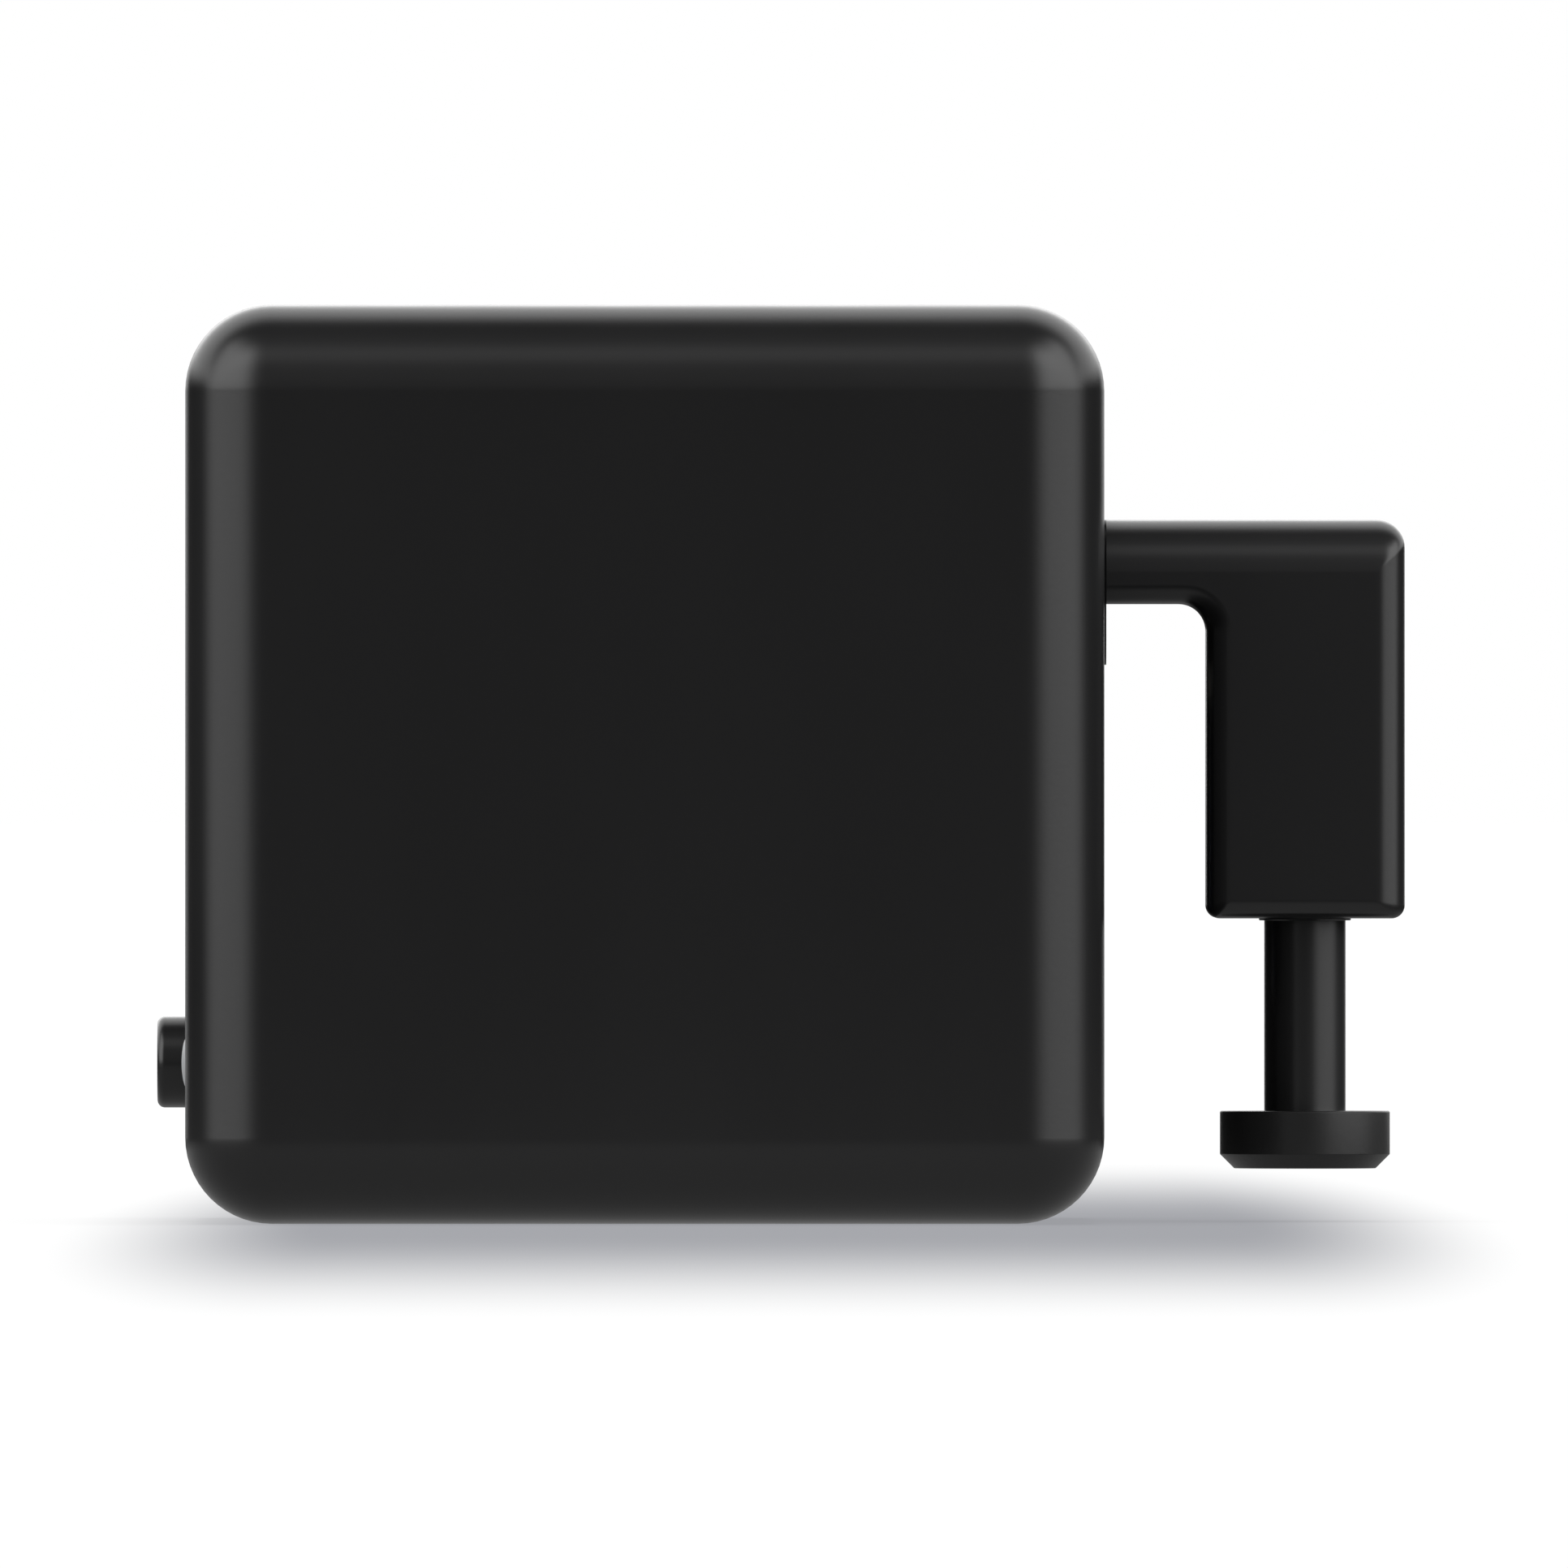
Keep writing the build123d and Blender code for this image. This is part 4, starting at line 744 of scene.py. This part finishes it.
def small_part_group():
    """Blocks on points, strayed and sized at random from a fixed seed"""
    group, given = node_group("small_parts", [
        ("Size", "Vector", (0.4 * mm, 1.0 * mm, 0.5 * mm)), ("Shift", "Float", 0.18 * mm),
        ("Seed", "Int", 11)])

    def random_vector(low, high, salt):
        seed = calc(group, "ADD", given["Seed"], salt)
        return add(group, "FunctionNodeRandomValue", {0: low, 1: high, "Seed": seed},
                   data_type="FLOAT_VECTOR").outputs[0]

    stray = add(group, "ShaderNodeVectorMath", {0: random_vector((0, -1, -1), (0, 1, 1), 0),
                                               "Scale": given["Shift"]}, operation="SCALE").outputs[0]
    moved = add(group, "GeometryNodeSetPosition", {"Geometry": given["Geometry"], "Offset": stray}).outputs[0]
    block = add(group, "GeometryNodeMeshCube", {"Size": given["Size"]}).outputs["Mesh"]
    return end_group(group, given, moved, block, Scale=random_vector((1.0, 0.7, 0.8), (1.0, 1.15, 1.3), 5.0))


# Operators, one for each piece or group of like pieces

def casing(sizes, grow=0.0):
    """Outside of the closed housing, or with a negative growth the space inside it"""
    low = shell_low - Vector((grow,) * 3)
    high = Vector((shell_high.x, cover_high.y, shell_high.z)) + Vector((grow,) * 3)
    return round_box(low, high, sizes.corner + grow, sizes.steps)


def halved(bm, seam, keep_front, softening):
    """Keeps one side of the seam, closes it and softens the new rim"""
    cut = bmesh.ops.bisect_plane(bm, geom=bm.verts[:] + bm.edges[:] + bm.faces[:],
                                 plane_co=(0, seam, 0), plane_no=(0, 1, 0),
                                 clear_outer=keep_front, clear_inner=not keep_front)
    rim = [item for item in cut["geom_cut"] if isinstance(item, bmesh.types.BMEdge)]
    bmesh.ops.contextual_create(bm, geom=rim)
    bmesh.ops.recalc_face_normals(bm, faces=bm.faces)
    if softening:
        rim = [edge for edge in bm.edges if all(abs(vert.co.y - seam) < TOUCH for vert in edge.verts)]
        bmesh.ops.bevel(bm, geom=rim, offset=softening, segments=4, profile=0.5, affect="EDGES")
    return bm


def boss_spots(sizes):
    """Axes of the three screw bosses, seen from the front"""
    wall, inset = sizes.wall, sizes.boss_inset
    across, low, high = shell_high.x - wall - inset, shell_low.z + wall + inset, shell_high.z - wall - inset
    return [(-across, high), (across, high), (across, low)]


def bead_outline(grow=0.0):
    """A bead that holds the cover, or with a growth the groove for it, both seen from above"""
    half_length, half_width, middle = 4 * mm + grow, 0.3 * mm + grow, shell_high.y - 0.9 * mm
    return slab_outline((-half_length, middle - half_width), (half_length, middle + half_width))


class PUSHER_OT_front_shell(Operator):
    """Build the front shell with its slot, holes and screw bosses"""
    bl_idname = "pusher.front_shell"
    bl_label = "Front Shell"
    bl_options = {"REGISTER", "UNDO"}

    def execute(self, context):
        settings = context.scene.button_pusher
        sizes, controls = settings.housing, settings.controls
        shell = piece_from(halved(casing(sizes), shell_high.y, True, sizes.seam_edge), "shell_moulding")
        join_or_cut(shell, "DIFFERENCE", casing(sizes, -sizes.wall))
        front, bulkhead = shell_low.y + sizes.wall / 2, place_of("motor_end_cap")[1].y
        spots = boss_spots(sizes)
        join_or_cut(shell, "UNION", *[prism(circle(spot, sizes.boss, 48), front, bulkhead, seen_front)
                                      for spot in spots])
        bore_end = bulkhead - sizes.boss_depth
        join_or_cut(shell, "DIFFERENCE", *[
            prism(circle(spot, sizes.boss_bore, 32), bore_end, bulkhead + OVERRUN, seen_front)
            for spot in spots])
        # slot that the hub travels down, and holes with a little room for button and lens
        gap, end_gap, corner, travel = 0.2 * mm, 0.24 * mm, 1.1 * mm, 12 * mm
        low = (hub_low.y - gap, hub_low.z - travel - end_gap)
        high = (hub_high.y + gap, hub_high.z + end_gap)
        slot, rim = growing_slab(low, high, corner, 8), sizes.hole_edge
        left, right = shell_low.x, shell_high.x
        within = left + sizes.wall + OVERRUN
        button = growing_circle((0, button_height), controls.button + 0.05 * mm)
        lens = growing_circle((-controls.lens_offset, button_height), controls.lens + 0.02 * mm)
        join_or_cut(shell, "DIFFERENCE",
                    flared(slot, right, right - sizes.wall - OVERRUN, rim, seen_side),
                    flared(button, left, within, rim, seen_side),
                    flared(lens, left, within, rim / 2, seen_side))
        # grooves for the cover's beads
        depth = 0.15 * mm
        join_or_cut(shell, "DIFFERENCE", prism(bead_outline(0.1 * mm), shell_low.z + sizes.wall - depth,
                                               shell_high.z - sizes.wall + depth, seen_above))
        finish(shell, "housing", "housing_black", "housing", "front_shell")
        return {"FINISHED"}


class PUSHER_OT_back_cover(Operator):
    """Build the back cover with its lip, beads and fingernail notch"""
    bl_idname = "pusher.back_cover"
    bl_label = "Back Cover"
    bl_options = {"REGISTER", "UNDO"}

    def execute(self, context):
        sizes = context.scene.button_pusher.housing
        seam = shell_high.y + 0.08 * mm
        cover = piece_from(halved(casing(sizes), seam, False, sizes.seam_edge), "cover_moulding")
        join_or_cut(cover, "DIFFERENCE", casing(sizes, -sizes.wall))
        # lip that goes into the shell, and its broader root inside the cover
        inset, lip = sizes.wall + sizes.lip_gap, sizes.lip
        radius = sizes.corner - inset
        low, high = (shell_low.x + inset, shell_low.z + inset), (shell_high.x - inset, shell_high.z - inset)
        inside = slab_outline((low[0] + lip, low[1] + lip), (high[0] - lip, high[1] - lip), radius / 2, 10)

        def ring(grow, front, back):
            bm = bmesh.new()
            outside = growing_slab(low, high, radius, 10)(grow)
            (outer_front, outer_back), (inner_front, inner_back) = [
                [[bm.verts.new(seen_front(u, v, w)) for u, v in outline] for w in (front, back)]
                for outline in (outside, inside)]
            for index in range(len(outside)):
                after = (index + 1) % len(outside)
                for near, far in ((outer_front, outer_back), (inner_front, inner_back),
                                  (outer_front, inner_front), (outer_back, inner_back)):
                    bm.faces.new((near[index], near[after], far[after], far[index]))
            return bm

        join_or_cut(cover, "UNION", ring(sizes.wall / 2, seam, shell_high.y + 1.2 * mm),
                    ring(0.0, cover_low.y, shell_high.y + mm))
        # beads on the lip, which snap into the shell's grooves
        proud = 0.08 * mm
        for edge, way in ((low[1], -1), (high[1], 1)):
            span = sorted((edge + way * proud, edge - way * lip / 2))
            join_or_cut(cover, "UNION", prism(bead_outline(), *span, seen_above))
        # notch for a fingernail, a shallow piece of a circle
        notch, depth, half_height = 1.4 * mm, 0.6 * mm, 3.5 * mm
        middle = (shell_low.z + shell_high.z) / 2
        join_or_cut(cover, "DIFFERENCE", prism(circle((shell_low.x + depth - notch, shell_high.y), notch),
                                               middle - half_height, middle + half_height, seen_above))
        finish(cover, "cover", "housing_black", "housing", "back_cover")
        return {"FINISHED"}


class PUSHER_OT_side_controls(Operator):
    """Build the side button and the lens beside it"""
    bl_idname = "pusher.side_controls"
    bl_label = "Button and Lens"
    bl_options = {"REGISTER", "UNDO"}

    def execute(self, context):
        settings = context.scene.button_pusher
        sizes, left, wall = settings.controls, shell_low.x, settings.housing.wall
        face, flange, broad, stem, edge = button_low.x, left + wall + 0.05 * mm, 2.4 * mm, 0.9 * mm, 0.05 * mm
        back = flange + 0.5 * mm
        outline = rounded([(0, face), (sizes.button, face), (sizes.button, flange), (broad, flange),
                           (broad, back), (stem, back), (stem, button_high.x), (0, button_high.x)],
                          [0, sizes.button_round, 0, edge, edge, 0, 0, 0], 10)
        # a shallow dish in the face for the fingertip
        reach, depth = 1.2 * mm, 0.06 * mm
        dish = [(reach * part, face + depth * (1 - part ** 2)) for part in (0, 0.25, 0.5, 0.75, 1)]
        button = piece_from(turned(dish + outline[1:], (0, button_height), seen_side), "button_cap")
        finish(button, "button", "button_black", "button", "side_button")

        # a low dome outside, and a flange and a cone inside
        rise, flange, cone = left - pipe_low.x, 1.4 * mm, 0.7 * mm
        profile = [(sizes.lens * math.sin(turn), left - rise * math.cos(turn)) for turn in quarter(10)]
        profile += [(sizes.lens, left + wall), (flange, left + wall), (flange, left + wall + 0.4 * mm),
                    (cone, pipe_high.x), (0, pipe_high.x)]
        lens = piece_from(turned(profile, (-sizes.lens_offset, button_height), seen_side, 64), "lens_pipe")
        finish(lens, "housing", "frosted_lens", "lens", "light_pipe")
        return {"FINISHED"}


class PUSHER_OT_arm(Operator):
    """Build the arm, an angle whose edge rounding changes round its outline"""
    bl_idname = "pusher.arm"
    bl_label = "Arm"
    bl_options = {"REGISTER", "UNDO"}

    def execute(self, context):
        settings = context.scene.button_pusher
        sizes, steps, half = settings.arm, 12, (arm_high.y - arm_low.y) / 2
        root, right, top, bottom = shell_high.x + 0.14 * mm, arm_high.x, arm_high.z, arm_low.z
        left, under = right - sizes.leg_width, top - sizes.thickness
        wide, side, soft, within = sizes.top_round, sizes.side_round, sizes.soft_edge, sizes.inner_edge
        # each corner with its radius seen from the front, how far the flat front stays inside it,
        # and the depth of the rounding before and after it
        corners = [((root, top), 0.0, (0.0, -wide), wide, wide),
                   ((right, top), sizes.outer_corner, (-side, -wide), wide, side),
                   ((right, bottom), sizes.end_round, (-side, soft), side, soft),
                   ((left, bottom), sizes.end_round, (within, soft), soft, within),
                   ((left, under), sizes.inner_corner, (within, soft), within, soft),
                   ((root, under), 0.0, (0.0, soft), soft, soft)]
        spots, radii, insets, before, after = zip(*corners)
        outer = rounded(spots, radii, steps)
        flat_spots = [(x + across, z + up) for (x, z), (across, up) in zip(spots, insets)]
        hollow = rounded(flat_spots, [0, 0, 0, 0, sizes.inner_corner + soft, 0], steps)
        inner, depths = [], []
        for number, radius in enumerate(radii):
            count = steps + 1 if radius else 1
            # the flat front follows the hollow corner round, and is one point at all others
            inner += hollow[4:5 + steps] if number == 4 else [flat_spots[number]] * count
            depths += [before[number] + (after[number] - before[number]) * blend(step / max(count - 1, 1))
                       for step in range(count)]
        rings = [[Vector((x + (u - x) * (1 - math.sin(turn)), depth * (1 - math.cos(turn)) - half,
                          z + (v - z) * (1 - math.sin(turn))))
                  for (x, z), (u, v), depth in zip(outer, inner, depths)] for turn in quarter(steps)]
        rings += [[Vector((point.x, -point.y, point.z)) for point in ring] for ring in reversed(rings)]
        bm = skin(rings)
        bmesh.ops.remove_doubles(bm, verts=bm.verts, dist=TOUCH)
        arm = piece_from(bm, "arm_moulding")
        # tang that plugs into the hub
        half_depth, half_height, middle = 1.7 * mm, 0.95 * mm, top - sizes.thickness / 2
        outline = slab_outline((-half_depth, middle - half_height), (half_depth, middle + half_height),
                               0.3 * mm, 6)
        join_or_cut(arm, "UNION", prism(outline, arm_low.x, root + 0.5 * mm, seen_side))
        # bore for the sleeve and, above it, for the rod
        sleeve, rod = (sleeve_high.x - sleeve_low.x) / 2 + 0.02 * mm, settings.controls.rod + 0.05 * mm
        join_or_cut(arm, "DIFFERENCE",
                    flared(growing_circle(rod_axis, sleeve, 96), bottom, sleeve_high.z, sizes.bore_edge,
                           seen_above),
                    prism(circle(rod_axis, rod, 96), bottom - OVERRUN, rod_high.z + 2.2 * mm, seen_above))
        finish(arm, "arm", "arm_black", "arm", "push_arm")
        return {"FINISHED"}


class PUSHER_OT_rod(Operator):
    """Build the sleeve, the push rod and the rubber foot"""
    bl_idname = "pusher.rod"
    bl_label = "Rod and Foot"
    bl_options = {"REGISTER", "UNDO"}

    def execute(self, context):
        sizes = context.scene.button_pusher.controls
        outer, inner = (sleeve_high.x - sleeve_low.x) / 2, sizes.rod + 0.03 * mm
        low, high, edge = sleeve_low.z, sleeve_high.z, 0.03 * mm
        profile = [(inner, low + edge), (inner + edge, low), (outer - edge, low), (outer, low + edge),
                   (outer, high), (inner, high)]
        sleeve = piece_from(skin([[(u, v, height) for u, v in circle(rod_axis, radius, 96)]
                                  for radius, height in profile], closed=True), "sleeve_ring")
        finish(sleeve, "arm", "collar_black", "collar", "rod_sleeve")

        # the rod ends in a thinner core, which the foot sits on
        core, top_edge, foot_top = 1 * mm, 0.3 * mm, foot_high.z
        profile = [(0, rod_low.z), (core, rod_low.z), (core, foot_top), (sizes.rod, foot_top),
                   (sizes.rod, rod_high.z - top_edge), (sizes.rod - top_edge, rod_high.z), (0, rod_high.z)]
        rod = piece_from(turned(profile, rod_axis, seen_above), "rod_turned")
        finish(rod, "pusher", "rod_black", "rod", "push_rod")

        sole, hole, edge = foot_low.z, core + 0.02 * mm, 0.05 * mm
        outline = rounded([(0, sole), (sizes.foot - sizes.foot_chamfer, sole),
                           (sizes.foot, sole + sizes.foot_chamfer), (sizes.foot, foot_top),
                           (hole, foot_top), (hole, rod_low.z), (0, rod_low.z)],
                          [0, edge, edge, sizes.foot_edge, 0, 0, 0], 8)
        foot = piece_from(turned(outline, rod_axis, seen_above, 128), "foot_pad")
        finish(foot, "pusher", "foot_black", "foot", "push_foot")
        return {"FINISHED"}


def middles_of(node, axis):
    """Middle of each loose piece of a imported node, without the coordinate along an axis"""
    bm = bmesh.new()
    bm.from_mesh(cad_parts[node].data)
    bmesh.ops.remove_doubles(bm, verts=bm.verts, dist=TOUCH)
    left, spots = set(bm.verts), []
    while left:
        stack, island = [left.pop()], []
        while stack:
            vert = stack.pop()
            island.append(vert.co.copy())
            for line in vert.link_edges:
                other = line.other_vert(vert)
                if other in left:
                    left.remove(other)
                    stack.append(other)
        ends = [(min(along), max(along)) for along in zip(*island)]
        spots.append(tuple((low + high) / 2 for i, (low, high) in enumerate(ends) if i != axis))
    bm.free()
    return sorted(spots)


class PUSHER_OT_screws(Operator):
    """Build all socket-head screws from one geometry tree"""
    bl_idname = "pusher.screws"
    bl_label = "Screws"
    bl_options = {"REGISTER", "UNDO"}

    def execute(self, context):
        sizes = context.scene.button_pusher.housing
        seat = place_of("chassis_screws")[1].y - 0.9 * mm
        plate = place_of("gear_plate_screws")[0].y + 0.7 * mm
        board = place_of("board_screws")[0].x + 0.7 * mm
        group, quarter_turn = socket_screw_group(), math.pi / 2
        # name, node, seats under the heads, turn,
        # radius and height of the head, radius and length of the shank
        for name, node, points, turn, head, height, shank, reach in (
                ("chassis_screw_set", "chassis_screws", [(x, seat, z) for x, z in boss_spots(sizes)],
                 (-quarter_turn, 0, 0), 1.3 * mm, 0.9 * mm, 0.7 * mm, 7.0 * mm),
                ("plate_screw_set", "gear_plate_screws",
                 [(x, plate, z) for x, z in middles_of("gear_plate_screws", 1)],
                 (quarter_turn, 0, 0), 1.1 * mm, 0.7 * mm, 0.6 * mm, 4.3 * mm),
                ("board_screw_set", "board_screws", [(board, y, z) for y, z in middles_of("board_screws", 0)],
                 (0, -quarter_turn, 0), 1.1 * mm, 0.7 * mm, 0.6 * mm, 3.2 * mm)):
            piece = run_group(name, points, group, "screw", {
                "Head Radius": head, "Head Height": height, "Shank Radius": shank, "Shank Length": reach,
                "Socket Radius": 0.55 * mm, "Socket Depth": 0.5 * mm, "Turn": turn})
            finish(piece, "housing", "screw_steel", "screw", node)
        return {"FINISHED"}


class PUSHER_OT_mechanism(Operator):
    """Finish the chassis, the carriage, the gear train and the motor"""
    bl_idname = "pusher.mechanism"
    bl_label = "Mechanism"
    bl_options = {"REGISTER", "UNDO"}

    def execute(self, context):
        dress("chassis", "chassis", "gear_plate")
        dress("acetal", "rack_carriage", "first_gear", "second_gear", "output_gear", "switch_plunger")
        dress("pin", "guide_rods", "gear_axles", "motor_shaft")
        dress("hub", "carriage_hub")
        dress("brass", "motor_pinion")
        dress("can", "motor_can")
        dress("end_cap", "motor_end_cap")
        dress("nickel", "motor_terminals")
        return {"FINISHED"}


class PUSHER_OT_board(Operator):
    """Finish the board, give its chips their leads and set small parts on it"""
    bl_idname = "pusher.board"
    bl_label = "Board"
    bl_options = {"REGISTER", "UNDO"}

    def execute(self, context):
        sizes = context.scene.button_pusher.board
        dress("mask", "main_board")
        dress("shield", "radio_module")
        dress("compound", "controller_chip", "motor_driver_chip", "button_switch")
        dress("aluminium", "capacitors")
        dress("lens", "status_lamp")
        board, group = place_of("main_board"), lead_group()
        for node, name in (("controller_chip", "controller_leads"), ("motor_driver_chip", "driver_leads")):
            low, high = place_of(node)
            count = int((high.z - low.z - sizes.lead_pitch) / sizes.lead_pitch)
            start = (low.z + high.z) / 2 - (count - 1) * sizes.lead_pitch / 2
            both_rows = bmesh.new()
            for edge, way in ((low.y, -1), (high.y, 1)):
                points = [(board[0].x, edge, start + step * sizes.lead_pitch) for step in range(count)]
                row = run_group(name, points, group, "solder", {
                    "Width": sizes.lead_width, "Reach": sizes.lead_reach, "Rise": (high.x - low.x) * 0.5,
                    "Thickness": 0.12 * mm, "Turn": (-math.pi / 2 * way, 0, math.pi / 2 * way)})
                both_rows.from_mesh(row.data)
                bpy.data.objects.remove(row)
            finish(piece_from(both_rows, name), "housing", "contact_nickel", "solder")
        # small parts in the free patch under the radio module and beside the switch
        switch, pitch, size = place_of("button_switch"), sizes.part_pitch, (0.4 * mm, 1.0 * mm, 0.5 * mm)
        start = (switch[1].y + pitch, switch[0].z + pitch / 2)
        end = (board[1].y - pitch / 2, place_of("radio_module")[0].z - pitch / 2)
        columns, rows = [int((end[axis] - start[axis]) / pitch) + 1 for axis in (0, 1)]
        spots = [(board[0].x - size[0] / 2, start[0] + column * pitch, start[1] + row * pitch)
                 for column in range(columns) for row in range(rows)]
        parts = run_group("small_part_set", spots, small_part_group(), "ceramic", {
            "Size": size, "Shift": sizes.part_shift, "Seed": sizes.seed})
        finish(parts, "housing", "core_grey", "ceramic")
        return {"FINISHED"}


class PUSHER_OT_battery(Operator):
    """Finish the battery and its contacts"""
    bl_idname = "pusher.battery"
    bl_label = "Battery"
    bl_options = {"REGISTER", "UNDO"}

    def execute(self, context):
        dress("can", "battery_can")
        dress("core", "battery_core")
        dress("end_cap", "battery_seal")
        dress("wrap", "battery_wrap")
        dress("nickel", "battery_cap", "positive_contact", "negative_contact")
        return {"FINISHED"}


def floor_material(studio):
    """White with a soft pool of painted shade to the camera, and only a dim glow near by to the part"""
    material = bpy.data.materials.new("studio_floor")
    tree = empty_tree(material)
    seen = add(tree, "ShaderNodeLightPath").outputs["Is Camera Ray"]
    place = add(tree, "ShaderNodeTexCoord").outputs["Object"]
    axes, in_front = axes_of(tree, place), 28 * mm
    # painted shade: a soft pool that darkens the floor's colour towards a cool grey around the part, standing
    # in for its shadow; the overhead lamp's real shadow falls on top of it
    off_middle = calc(tree, "ABSOLUTE", calc(tree, "SUBTRACT", axes["X"], studio.aim_x))
    past_width = calc(tree, "MAXIMUM", calc(tree, "SUBTRACT", off_middle, studio.shade_width), 0.0)
    across = calc(tree, "DIVIDE", past_width, studio.shade_edge)
    along = calc(tree, "DIVIDE", calc(tree, "ADD", axes["Y"], in_front), studio.shade_reach)
    pool = eased(tree, vector_length(tree, vector_of(tree, across, along)), 1.1, 0.1)
    white = tint(tree, pool, (1, 1, 1), tuple(studio.shade_colour))

    def seen_only(share_of_white, otherwise):
        part = add(tree, "ShaderNodeMix", {0: 1.0, 6: white, 7: (*[share_of_white] * 3, 1)},
                   data_type="RGBA", blend_type="MULTIPLY").outputs[2]
        return tint(tree, seen, otherwise, part)

    near, far, far_glow = 25 * mm, 90 * mm, 0.04
    glow = eased(tree, vector_length(tree, place), near, far, studio.near_floor, far_glow)
    surface = add(tree, "ShaderNodeBsdfDiffuse", {"Color": seen_only(studio.floor_tone, (0, 0, 0))})
    light = add(tree, "ShaderNodeEmission", {"Color": seen_only(studio.floor_glow, glow)})
    both = add(tree, "ShaderNodeAddShader", {0: surface.outputs[0], 1: light.outputs[0]}).outputs[0]
    add(tree, "ShaderNodeOutputMaterial", {"Surface": both})
    return material


def make_floor(studio):
    """Floor under the part, and a lamp overhead that lights it alone"""
    bm = bmesh.new()
    below = Matrix.Translation((0, 0, -0.02 * mm))  # clear of the part's own underside
    bmesh.ops.create_grid(bm, x_segments=1, y_segments=1, size=20.0, matrix=below)
    floor = piece_from(bm, "studio_floor")
    floor.data.materials.append(floor_material(studio))
    only_floor = bpy.data.collections.new("floor_only")
    only_floor.objects.link(floor)
    lamp = put("floor_lamp", bpy.data.lights.new("floor_lamp", "SUN"))
    lamp.data.energy, lamp.data.angle = studio.floor_lamp, studio.floor_soft
    lamp.light_linking.receiver_collection = only_floor


def make_world(studio):
    """White space to the camera, and to the part a studio of soft panels"""
    world = bpy.data.worlds.new("studio")
    bpy.context.scene.world = world
    tree = empty_tree(world)

    def product(first, second):
        return calc(tree, "MULTIPLY", first, second)

    def window(value, start, end, soft):
        return calc(tree, "SUBTRACT", eased(tree, value, start - soft, start + soft),
                    eased(tree, value, end - soft, end + soft))

    x, y, z = axes_of(tree, add(tree, "ShaderNodeTexCoord").outputs["Generated"])
    forwards, off_middle, degree = product(y, -1.0), calc(tree, "ABSOLUTE", x), math.radians(1)
    # angle to the side and angle upwards, both from straight in front, in radians
    side, up = calc(tree, "ARCTAN2", off_middle, forwards), calc(tree, "ARCTAN2", z, forwards)
    both_sides = product(window(side, 30 * degree, 93 * degree, 13 * degree), window(z, -0.6, 0.82, 0.12))
    behind = eased(tree, y, 0.84, 0.93)
    above = product(eased(tree, up, 98 * degree, 124 * degree), eased(tree, z, 0.05, 0.25))
    high = product(window(up, 41 * degree, 61 * degree, 8 * degree), eased(tree, off_middle, 0.95, 0.6))
    light = product(both_sides, studio.side_light)
    for part, strength in ((behind, studio.back_light), (above, studio.top_light), (high, studio.high_light),
                           (eased(tree, y, 0.4, -0.4), studio.front_light)):
        light = calc(tree, "ADD", light, product(part, strength))
    path = add(tree, "ShaderNodeLightPath").outputs["Is Camera Ray"]
    seen = add(tree, "ShaderNodeMix", {0: path, 2: light, 3: 1.0}, data_type="FLOAT").outputs[0]
    shader = add(tree, "ShaderNodeBackground", {"Color": (1, 1, 1, 1), "Strength": seen}).outputs[0]
    add(tree, "ShaderNodeOutputWorld", {"Surface": shader})


class PUSHER_OT_stage(Operator):
    """Set up the floor, the studio's light and the camera"""
    bl_idname = "pusher.stage"
    bl_label = "Stage"
    bl_options = {"REGISTER", "UNDO"}

    def execute(self, context):
        scene = context.scene
        studio = scene.button_pusher.studio
        scene.view_settings.view_transform = "Standard"
        make_floor(studio)
        make_world(studio)
        camera = put("camera", bpy.data.cameras.new("camera"))
        camera.data.sensor_width = 36.0
        camera.data.lens = camera.data.sensor_width * studio.distance / studio.view_width
        camera.data.clip_start, camera.data.clip_end = 0.01, 100.0
        camera.location = (studio.aim_x, -studio.distance, studio.aim_z)
        camera.rotation_euler = (math.pi / 2, 0, 0)
        scene.camera = camera
        return {"FINISHED"}


class PUSHER_PT_panel(Panel):
    """Steps and settings of the button pusher"""
    bl_idname = "PUSHER_PT_panel"
    bl_label = "Button Pusher"
    bl_space_type = "VIEW_3D"
    bl_region_type = "UI"
    bl_category = "Button Pusher"

    def draw(self, context):
        settings = context.scene.button_pusher
        for name in ("housing", "arm", "controls", "board", "finish", "studio"):
            box = self.layout.box()
            box.label(text=name.title())
            group = getattr(settings, name)
            for key in group.__annotations__:
                box.prop(group, key)
        for step in STEPS:
            self.layout.operator(step.bl_idname)


STEPS = (PUSHER_OT_front_shell, PUSHER_OT_back_cover, PUSHER_OT_side_controls, PUSHER_OT_arm,
         PUSHER_OT_rod, PUSHER_OT_screws, PUSHER_OT_mechanism, PUSHER_OT_board, PUSHER_OT_battery,
         PUSHER_OT_stage)
CLASSES = (HousingSizes, ArmSizes, ControlSizes, BoardSizes, Finishes, StudioSettings, PusherSettings,
           *STEPS, PUSHER_PT_panel)


def register():
    for item in CLASSES:
        bpy.utils.register_class(item)
    bpy.types.Scene.button_pusher = PointerProperty(type=PusherSettings)


def unregister():
    del bpy.types.Scene.button_pusher
    for item in reversed(CLASSES):
        bpy.utils.unregister_class(item)


def main():
    register()
    for step in STEPS:
        group, name = step.bl_idname.split(".")
        getattr(getattr(bpy.ops, group), name)()


if __name__ == "__main__":
    main()
